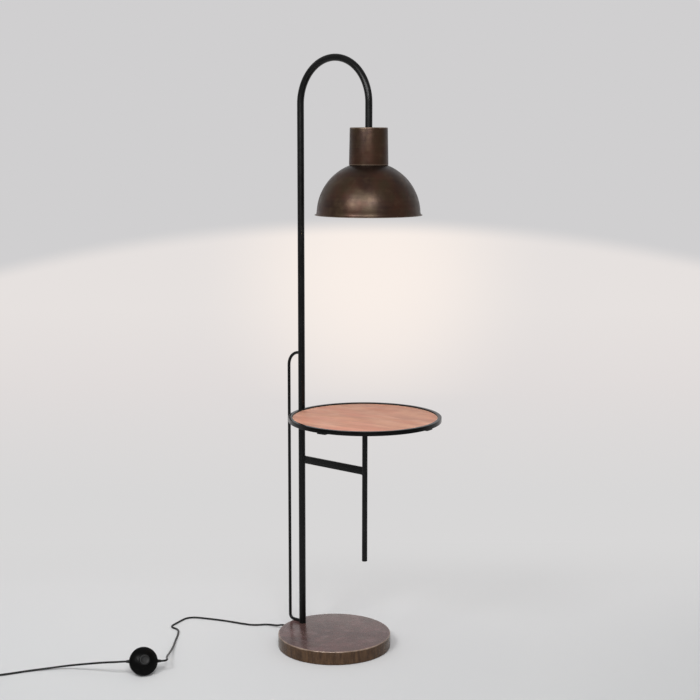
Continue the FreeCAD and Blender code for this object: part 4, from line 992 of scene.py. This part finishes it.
@dataclass
class MainsCord:
    """Both free lengths of the cord, its coil and tie, and the plug."""

    switch: FootSwitch
    gland_tip: float = -0.1771
    gland_height: float = 0.013
    gland_lead: float = 0.012
    switch_lead: float = 0.008
    coil_start: tuple[float, float] = (-0.520, -0.765)
    coil_heading: float = -120.0
    lead_in: float = 0.030
    lead_out: float = 0.036
    inner_radius: float = 0.0225
    pitch: float = 0.0062
    layer: float = 0.0059
    turns: float = 5.25
    blend_turns: float = 0.25
    points_per_turn: int = 16
    tie_turn: float = 100.0
    tie_width: float = 0.006
    tie_gap: float = 0.0005
    tie_thickness: float = 0.0007
    plug_half_height: float = 0.007
    plug_length: float = 0.032
    relief_length: float = 0.020
    pin_length: float = 0.019
    pin_radius: float = 0.002
    pin_root: float = 0.006
    pin_sleeve_share: float = 0.52
    pin_spacing: float = 0.0186

    def cord(self, piece: Piece, points: Sequence[Vector]) -> Object:
        """One smooth cord through control points.

        Args:
            piece: what it makes.
            points: the spline's control points, in the row's frame.

        Returns:
            The curve object.
        """
        data = bpy.data.curves.new(piece.name, "CURVE")
        data.dimensions = "3D"
        data.resolution_u = 10
        data.bevel_depth = CORD_RADIUS
        data.bevel_resolution = 6
        data.use_fill_caps = True
        spline = data.splines.new("NURBS")
        spline.points.add(len(points) - 1)
        for control, point in zip(spline.points, points):
            control.co = (*point, 1)
        spline.order_u = 3
        spline.use_endpoint_u = True
        data.materials.append(piece.finish.material())
        return piece.declare(bpy.data.objects.new(piece.name, data), len(points))

    def free(self, route: Sequence[tuple[float, float, float]]) -> list[Vector]:
        """Route points with their heights over the floor."""
        return [Vector((x, y, z + CORD_REST)) for x, y, z in route]

    def coil_spot(self, turn: float) -> Vector:
        """A point of the coil about its own centre: in on the first layer, up one, and out on the second.

        Args:
            turn: turns from the coil's start.

        Returns:
            The point, with its height over the first layer.
        """
        off = abs(turn - self.turns / 2)
        wide = self.blend_turns
        spiral = off ** 2 / (2 * wide) if off < wide else off - wide / 2
        climb = min(1.0, max(0.0, (turn - self.turns / 2 + wide) / (2 * wide)))
        radius, angle = self.inner_radius + self.pitch * spiral, FULL_TURN * turn
        return Vector((radius * math.cos(angle), radius * math.sin(angle),
                       self.layer * climb ** 2 * (3 - 2 * climb)))

    def build(self) -> None:
        switch_pieces = self.switch.build()
        right, left = self.switch.tip(Port.LAMP), self.switch.tip(Port.PLUG)
        gland = Vector((self.gland_tip, 0, self.gland_height))
        near = self.cord(Piece("cord_lamp_to_switch", Finishes.pvc, "cord_to_switch"), [
            gland, gland - X * self.gland_lead, *self.free(ROUTE_BASE_TO_SWITCH),
            self.switch.tip(Port.LAMP, self.switch_lead), right])

        turn = math.radians(self.coil_heading)
        heading = Vector((math.cos(turn), math.sin(turn), 0))
        start = Vector((*self.coil_start, CORD_REST + self.tie_thickness + self.tie_gap))
        end_run, step = 2 * CORD_RADIUS, 1e-4
        first = self.coil_spot(0)
        way = (self.coil_spot(step) - first).normalized()
        spin = Matrix.Rotation(math.atan2(heading.y, heading.x) - math.atan2(way.y, way.x), 3, "Z")
        centre = start + heading * end_run - spin @ first
        # A quadratic spline runs a little inside its control points, so the turns are drawn wider.
        widen = 2 / (1 + math.cos(HALF_TURN / self.points_per_turn))
        spots = [self.coil_spot(index / self.points_per_turn)
                 for index in range(1, round(self.turns * self.points_per_turn))]
        coil = [centre + spin @ Vector((spot.x * widen, spot.y * widen, spot.z)) for spot in spots]
        last = centre + spin @ self.coil_spot(self.turns)
        level = (last - (centre + spin @ self.coil_spot(self.turns - step))).normalized()
        level.z = 0
        level.normalize()
        drop = last.z - (FLOOR_GAP + self.plug_half_height)
        descent = [last + level * (end_run + self.lead_out * along) - Z * drop * down
                   for along, down in ((0, 0), (0.35, 0.12), (0.7, 0.9), (1, 1))]
        plug_start = descent[-1] + level * end_run
        far = self.cord(Piece("cord_switch_to_plug", Finishes.pvc, "cord_to_coil cord_coil"), [
            left, self.switch.tip(Port.PLUG, self.switch_lead), *self.free(ROUTE_SWITCH_TO_COIL),
            start - heading * self.lead_in, start, start + heading * end_run, *coil, last, *descent,
            plug_start])
        far_pieces = [self.build_tie(centre, heading), *self.build_plug(plug_start, level)]

    def build_tie(self, centre: Vector, heading: Vector) -> Object:
        """Makes the band round both layers, across from the cord's ends.

        Args:
            centre: the coil's centre, at the height of the first layer.
            heading: the direction in which the cord comes in.

        Returns:
            The band.
        """
        outer = self.inner_radius + self.pitch * (self.turns / 2 - self.blend_turns / 2)
        around = math.atan2(heading.y, heading.x) + math.radians(self.tie_turn)
        pose = Matrix.Translation(centre + Z * (self.layer / 2)) @ Matrix.Rotation(around, 4, "Z")
        inside = self.layer / 2 + CORD_RADIUS + self.tie_gap
        outside, half = inside + self.tie_thickness, self.tie_width / 2
        made = bmesh.new()
        loops = [[made.verts.new(pose @ Vector((x + size * math.cos(a), side, size * math.sin(a))))
                  for x, bow in ((outer, -QUARTER_TURN), (self.inner_radius, QUARTER_TURN))
                  for a in spread(bow, bow + HALF_TURN, 20)]
                 for size, side in ((inside, -half), (inside, half), (outside, half), (outside, -half))]
        bridge(made, loops + loops[:1])
        return Piece("cord_tie_band", Finishes.abs_grained, "coil_tie").make(made)

    def build_plug(self, place: Vector, level: Vector) -> list[Object]:
        """Makes the flat two-pin plug with its relief.

        Args:
            place: where the cord ends.
            level: the cord's direction there.

        Returns:
            The plug's pieces.
        """
        turn = Matrix((level, Z.cross(level), Z)).transposed().to_4x4()
        pose = Matrix.Translation(place) @ turn
        along = pose @ Matrix.Rotation(QUARTER_TURN, 4, "Y")
        ribs: list[Corner] = [(0, 0, 0), (0.0033, 0, 0.0006)]
        for i in range(5):
            foot, size = 0.002 + i * 0.0034, 0.0035 + 0.0003 * i
            ribs += [(size + wide, foot + up, 0.0002)
                     for wide, up in ((0, 0), (-0.0005, 0.001), (-0.0005, 0.0016), (0.0003, 0.0026))]
        ribs += [(0.005, self.relief_length, 0), (0, self.relief_length, 0)]
        pieces = [lathe(Piece("plug_cord_relief", Finishes.abs_grained, "plug_relief"), ribs, along, 48, 3)]

        made = bmesh.new()
        rows = []
        # Share of the length, half width and half height; the section's corners fill out from round.
        for share, wide, high in (
            (0.0, 0.0052, 0.0052), (0.03, 0.0066, 0.0058), (0.12, 0.0100, 0.0063), (0.30, 0.0135, 0.0067),
            (0.50, 0.0150, 0.0069), (0.72, 0.0163, 0.0070), (0.92, 0.0174, 0.0070), (0.98, 0.0174, 0.0068),
            (1.0, 0.0166, 0.0060),
        ):
            out = self.relief_length + share * self.plug_length
            power = 2 / (2 + 2.6 * min(1.0, share * 3))
            rows.append([made.verts.new(pose @ Vector((out, wide * math.copysign(abs(cos) ** power, cos),
                                                       high * math.copysign(abs(sin) ** power, sin))))
                         for cos, sin in circle(48)])
        bridge(made, rows)
        made.faces.new(rows[0])
        made.faces.new(rows[-1])
        pieces.append(Piece("plug_moulding", Finishes.abs_grained, "plug_body", sharp=50).make(made))

        face = self.relief_length + self.plug_length
        split, end = face + self.pin_length * self.pin_sleeve_share, face + self.pin_length
        thick, thin = self.pin_radius, self.pin_radius - 0.1 * MM
        pin = [(0, face - self.pin_root, 0), (thick, face - self.pin_root, 0), (thick, split, 0.0001),
               (thin, split, 0), (thin, end, 0.0015), (0, end, 0)]
        for index, side in enumerate((-1, 1)):
            axis = along @ Matrix.Translation((0, side * self.pin_spacing / 2, 0))
            pieces.append(lathe(Piece(f"plug_pin_{index}", Finishes.nickel, "" if index else "plug_pins",
                                      inside=(Finishes.abs_grained,)), pin, axis, 32, 5,
                                lambda radius, height: height < split))
        return pieces


# ------------------------------------------------------------------ the lamp

@dataclass
class Foot(Assembly):
    """The round base with its pad, weight and gland."""

    inner = ((Finishes.foam, "floor_pad"), (Finishes.iron, "base_weight"),
             (Finishes.nylon, "terminal_block"), (Finishes.pvc, "mains_tail"),
             (Finishes.zinc, "bottom_plate plate_screws cover_studs stud_nuts pole_washer pole_nut "
                             "pole_foot_insert terminal_screws"))
    edge: float = 0.0022
    wall: float = 0.0015
    rib_count: int = 6
    rib_start: float = 0.0075
    rib_pitch: float = 0.0036

    def build(self) -> None:
        """Makes the cover and the gland."""
        low, high, _, radius = round_box("base_cover")
        inner, roof = radius - self.wall, high.z - self.wall
        outline = [(0, high.z, 0), (radius, high.z, self.edge), (radius, low.z, 0.0005),
                   (inner, low.z, 0.0005), (inner, roof, 0), (0, roof, 0)]
        # Painted light and shade: the top takes pale greyish browns and the upright side darker, browner
        # streaks.
        finish = AntiqueBronze(
            "pressed_steel_rubbed_bronze_lacquer_base", "bronze_paint", edge_z=high.z, edge_radius=radius,
            deep="#493432", warm="#614442", olive="#533f3b", rubbed="#836a69", edge="#b8a392",
            shaded_side_share=0.95, metal=0.15, coat=0.62, gloss=0.25, marks=0.08, edge_share=0.6)
        lathe(Piece("base_pressed_cover", finish, "base_cover"), outline, standing(), 256)

        low, high = box("cord_gland")
        place = Matrix.Translation((high.x, 0, (low.z + high.z) / 2))
        pose = place @ Matrix.Rotation(-QUARTER_TURN, 4, "Y")
        gland = [(0, 0, 0), (0.006, 0, 0.0004), (0.006, 0.0018, 0.0004), (0.0042, 0.0018, 0),
                 (0.0042, 0.0035, 0), (0.006, 0.0035, 0.0008), (0.006, 0.0055, 0.0008),
                 (0.0048, 0.0058, 0.0003)]
        for i in range(self.rib_count):
            foot, size = self.rib_start + i * self.rib_pitch, 0.0048 - 0.0013 * i / self.rib_count
            gland += [(size - less, foot + up, 0.0002)
                      for less, up in ((0, 0), (0.0006, 0.0003), (0.0006, 0.0013), (0.0001, 0.0016))]
        gland += [(0.0033, high.x - low.x, 0.0005), (0, high.x - low.x, 0)]
        lathe(Piece("base_cord_relief", Finishes.abs_grained, "cord_gland", "cord_pvc"), gland, pose, 48, 3)


@dataclass
class Post(Assembly):
    """The pole with its arm, the bow rod, the bracket bar and their welds."""

    inner = ((Finishes.zinc, "pole_coupler arm_end_plug"), (Finishes.pvc, "inner_cable"))
    chamfer: float = 0.3 * MM
    bow_top_bend: float = 0.036
    bow_foot_bend: float = 0.012
    bow_sunk: float = MM
    bar_edge: float = 0.0007
    weld_radius: float = 0.0013
    weld_swell: float = 0.12
    weld_ripple: float = 0.0021

    def upright(self, x: float, heights: Sequence[float]) -> list[Vector]:
        """Points over each other on the lamp's middle plane."""
        return [Vector((x, 0, z)) for z in heights]

    def build(self) -> None:
        """Makes both lengths of the pole, the rod and the bar."""
        low, high, self.pole_x, self.pole_radius = round_box("lower_pole")
        lower = self.upright(self.pole_x, [low.z, low.z + self.chamfer, *spread(low.z, high.z, 8, 1)[:-1],
                                           high.z - self.chamfer, high.z])
        sweep(Piece("pole_lower_tube", Finishes.powder, "lower_pole"), lower, self.pole_radius,
              edge=self.chamfer)
        low, high, _, half = round_box("upper_pole")
        reach = half - self.pole_radius
        shoulder = high.z - self.pole_radius - reach
        end = box("shade_neck")[1].z
        path = self.upright(self.pole_x, [low.z, low.z + self.chamfer, *spread(low.z, shoulder, 8, 1)])
        path += arc(Vector((self.pole_x + reach, 0, shoulder)), path[-1], Y, 180, 72)
        path += self.upright(path[-1].x, [end + (shoulder - end) * s for s in (0.5, 0.01, 0.0)])
        sweep(Piece("pole_arm_tube", Finishes.powder, "upper_pole"), path, self.pole_radius)
        self.build_bow()
        self.build_bracket()

    def build_bow(self) -> None:
        """Makes the bent rod and its two welds."""
        low, high = box("bow_rod")
        radius = (high.y - low.y) / 2
        x, top, foot = low.x + radius, high.z - radius, low.z + radius
        near = self.pole_x - self.pole_radius + self.bow_sunk
        path = [Vector((near, 0, top)), Vector((x + self.bow_top_bend, 0, top))]
        path += arc(Vector((x + self.bow_top_bend, 0, top - self.bow_top_bend)), path[-1], Y, -90, 24)
        path += self.upright(x, [*spread(top, foot, 4, 1)[:-1], foot + self.bow_foot_bend])
        path += arc(Vector((x + self.bow_foot_bend, 0, foot + self.bow_foot_bend)), path[-1], Y, -90, 16)
        path.append(Vector((near, 0, foot)))
        sweep(Piece("bow_bent_rod", Finishes.powder, "bow_rod"), path, radius, 40)
        for name, z in (("top", top), ("foot", foot)):
            ring = [(radius * cos, z + radius * sin) for cos, sin in circle(36)]
            self.weld(f"weld_bow_{name}", self.on_tube(self.pole_x, self.pole_radius, -1, 0.4 * MM, ring))

    def on_tube(self, x: float, radius: float, way: int, out: float,
                line: Sequence[tuple[float, float]]) -> list[Vector]:
        """Lays a line on the side of an upright tube.

        Args:
            x: the tube's axis.
            radius: the tube's radius.
            way: the side, -1 or 1 along X.
            out: how far the line lies outside the tube.
            line: y and z of its points.

        Returns:
            The points.
        """
        return [Vector((x + way * (math.sqrt(radius ** 2 - y ** 2) + out), y, z)) for y, z in line]

    def weld(self, name: str, path: Sequence[Vector]) -> None:
        """Lays a rippled bead of weld, which swells every 2 mm or so, along a closed path."""
        sweep(Piece(name, Finishes.weld), path, lambda travelled: self.weld_radius * (
            1 + self.weld_swell * math.sin(FULL_TURN * travelled / self.weld_ripple)), 12, closed=True)

    def build_bracket(self) -> None:
        """Makes the flat bar and the welds at its ends."""
        low, high = box("bracket_bar")
        _, _, stem_x, stem_radius = round_box("table_stem")
        rounded_bar(Piece("bracket_flat_bar", Finishes.powder, "bracket_bar"), low, high, self.bar_edge)
        half, steps = (high.y - low.y) / 2, 20
        corners = [(half, low.z), (half, high.z), (-half, high.z), (-half, low.z), (half, low.z)]
        line = [(y0 + (y1 - y0) * i / steps, z0 + (z1 - z0) * i / steps)
                for (y0, z0), (y1, z1) in zip(corners, corners[1:]) for i in range(steps)]
        for name, x, radius, way in (("pole", self.pole_x, self.pole_radius, 1),
                                     ("stem", stem_x, stem_radius, -1)):
            self.weld(f"weld_bracket_{name}", self.on_tube(x, radius, way, 0.2 * MM, line))


@dataclass
class Table(Assembly):
    """The round table on its stem."""

    inner = ((Finishes.powder, "cross_bar_long cross_bar_across"), (Finishes.zinc, "table_screws"))
    cross_turn: float = math.radians(6.2)
    gap: float = 0.3 * MM
    rim_edge: float = 0.0009
    wood_edge: float = 0.0006
    cap_edge: float = 0.0008
    weld_radius: float = 0.0011

    def build(self) -> None:
        """Makes the rim, the wooden top, the stem with its cap, and the weld at the stem's top."""
        low, high, x, outer = round_box("table_rim")
        wood_low, wood_high, _, radius = round_box("table_top")
        rim = [(r, z, self.rim_edge) for r, z in ((radius + self.gap, low.z), (outer, low.z),
                                                  (outer, high.z), (radius + self.gap, high.z))]
        lathe(Piece("table_steel_rim", Finishes.rim, "table_rim"), rim, standing(x), 256)
        top = [(0, wood_low.z, 0), (radius, wood_low.z, 0), (radius, wood_high.z, self.wood_edge),
               (0, wood_high.z, 0)]
        wood = LacqueredWood("hardwood_boards_matt_lacquered", "table_wood", x, self.cross_turn, radius)
        lathe(Piece("table_wooden_top", wood, "table_top"), top, standing(x), 256)
        low, high, _, radius = round_box("table_stem")
        foot = box("stem_cap")[0].z
        sweep(Piece("table_stem_tube", Finishes.powder, "table_stem"),
              [Vector((x, 0, z)) for z in spread(low.z, high.z, 6)], radius, 40)
        lathe(Piece("table_stem_cap", Finishes.powder, "stem_cap"),
              [(0, foot, 0), (radius, foot, self.cap_edge), (radius, low.z, 0), (0, low.z, 0)],
              standing(x), 40)
        out = radius + self.gap
        bead = [Vector((x + out * cos, out * sin, high.z - self.gap)) for cos, sin in circle(40)]
        sweep(Piece("weld_stem_top", Finishes.weld), bead, self.weld_radius, 12, closed=True)


@dataclass
class Shade(Assembly):
    """The half-sphere shade, the cup above it, the lamp holder and the bulb."""

    inner = ((Finishes.phenolic, "holder_cap holder_body upper_shade_ring lower_shade_ring"),
             (Finishes.nylon, "contact_disc"), (Finishes.brass, "centre_contact hollow_nipple neck_nut"),
             (Finishes.zinc, "neck_washer"))
    sphere_radius: float = 0.1305
    sphere_rise: float = 0.0028
    wall: float = 0.001
    lip_height: float = 0.0014
    lip_top: float = 0.0055
    hole_gap: float = 0.0006
    cup_top: float = 0.0475
    cup_wall: float = 0.0012
    cup_hole: float = 0.0052
    bulb_neck: float = 0.0131
    bulb_turn: float = 120.0
    thread_pitch: float = 0.0029

    def build(self) -> None:
        """Makes the shade, the cup and the bulb."""
        low, high, axis, flange = round_box("shade_dome")
        radius, centre, wall = self.sphere_radius, low.z + self.sphere_rise, self.wall
        hole = round_box("holder_body")[3] + self.hole_gap

        def curve(size: float, first: float, last: float) -> list[Corner]:
            """Corners round the shade's centre, between two elevations."""
            return [(size * math.cos(a), centre + size * math.sin(a), 0.0) for a in spread(first, last, 40)]

        top = math.asin((high.z - centre) / radius)
        foot = math.asin(self.lip_top / radius)
        inner_top = math.asin((high.z - wall - centre) / (radius - wall))
        outline = [(flange, low.z, 0.0006), (flange, low.z + self.lip_height, 0.0006),
                   (radius + 0.0012, centre - 0.0004, 0.0030), *curve(radius, foot, top), (hole, high.z, 0),
                   (hole, high.z - wall, 0), *curve(radius - wall, inner_top, foot),
                   (radius - wall, low.z, 0.0008)]

        def inside(r: float, z: float) -> bool:
            """Whether a face belongs to the enamelled inner skin."""
            if z < centre + 0.003:
                return r < radius - wall * 0.4 and z > low.z + 0.0003
            return math.hypot(r, z - centre) < radius - wall / 2 and z < high.z - wall / 2

        bronze = AntiqueBronze("spun_steel_rubbed_bronze_lacquer_shade", "bronze_paint", axis_x=axis,
                               edge_z=low.z + self.lip_height, edge_radius=flange, edge="#6d5c4e",
                               painted_shade_top_z=high.z)
        lathe(Piece("shade_spun_dome", bronze, "shade_dome", inside=(Finishes.enamel,)), outline,
              standing(axis), 256, second=inside)

        low, high, _, foot = round_box("shade_neck")
        top, wall = self.cup_top, self.cup_wall
        outline = [(self.cup_hole, high.z, 0), (top, high.z, 0.0022), (foot, low.z, 0.0005),
                   (foot - wall, low.z, 0.0005), (top - wall, high.z - wall, 0.001),
                   (self.cup_hole, high.z - wall, 0)]
        bronze = AntiqueBronze("spun_steel_rubbed_bronze_lacquer_neck", "bronze_paint", axis_x=axis,
                               edge_z=high.z, edge_radius=top, edge="#8a7868", foot_z=low.z)
        lathe(Piece("shade_neck_cup", bronze, "shade_neck"), outline, standing(axis), 192)
        self.build_bulb(axis)

    def build_bulb(self, axis: float) -> None:
        """Makes the bulb's glass, which narrows in a soft curve to its neck, and its threaded cap.

        Args:
            axis: x of the shade's axis.
        """
        low, high, _, radius = round_box("bulb_glass")
        neck, centre = self.bulb_neck, low.z + radius
        outline: list[Corner] = [(0, low.z, 0)]
        outline += [(radius * math.sin(a), centre - radius * math.cos(a), 0.0)
                    for a in spread(0, math.radians(self.bulb_turn), 32, 1)]
        start_r, start_z = outline[-1][:2]
        rise = high.z - start_z
        pull = 0.9 * -math.tan(math.radians(self.bulb_turn - 90)) * rise
        for t in spread(0, 1, 16, 1):
            outline.append((start_r + (neck - start_r) * t * t * (3 - 2 * t) + pull * t * (1 - t) ** 2,
                            start_z + rise * t, 0.0))
        outline.append((0, high.z, 0))
        lathe(Piece("bulb_opal_globe", Finishes.opal, "bulb_glass"), outline, standing(axis), 96)
        low, high = box("bulb_cap")
        threads: list[Corner] = [(0, low.z, 0), (neck, low.z, 0)]
        for i in range(7):
            z = low.z + 0.003 + i * self.thread_pitch
            threads += [(neck - 0.0011, z, 0.0004), (neck, z + self.thread_pitch / 2, 0.0004)]
        threads += [(neck - 0.002, low.z + 0.0235, 0.001), (0.005, high.z, 0.0006), (0, high.z, 0)]
        lathe(Piece("bulb_screw_cap", Finishes.aluminium, "bulb_cap"), threads, standing(axis), 64, 3)


def main() -> None:
    """Builds the camera and cords first, then the lamp from the floor up."""
    logging.basicConfig(level=logging.INFO, format="%(name)s %(message)s")
    bpy.context.scene.view_settings.view_transform = "Standard"
    studio = Studio()
    studio.build_camera()
    MainsCord(FootSwitch()).build()
    studio.build_backdrop()
    studio.build_lights()
    for assembly in (Foot(), Post(), Table(), Shade()):
        assembly.build()
        assembly.dress()


if __name__ == "__main__":
    main()
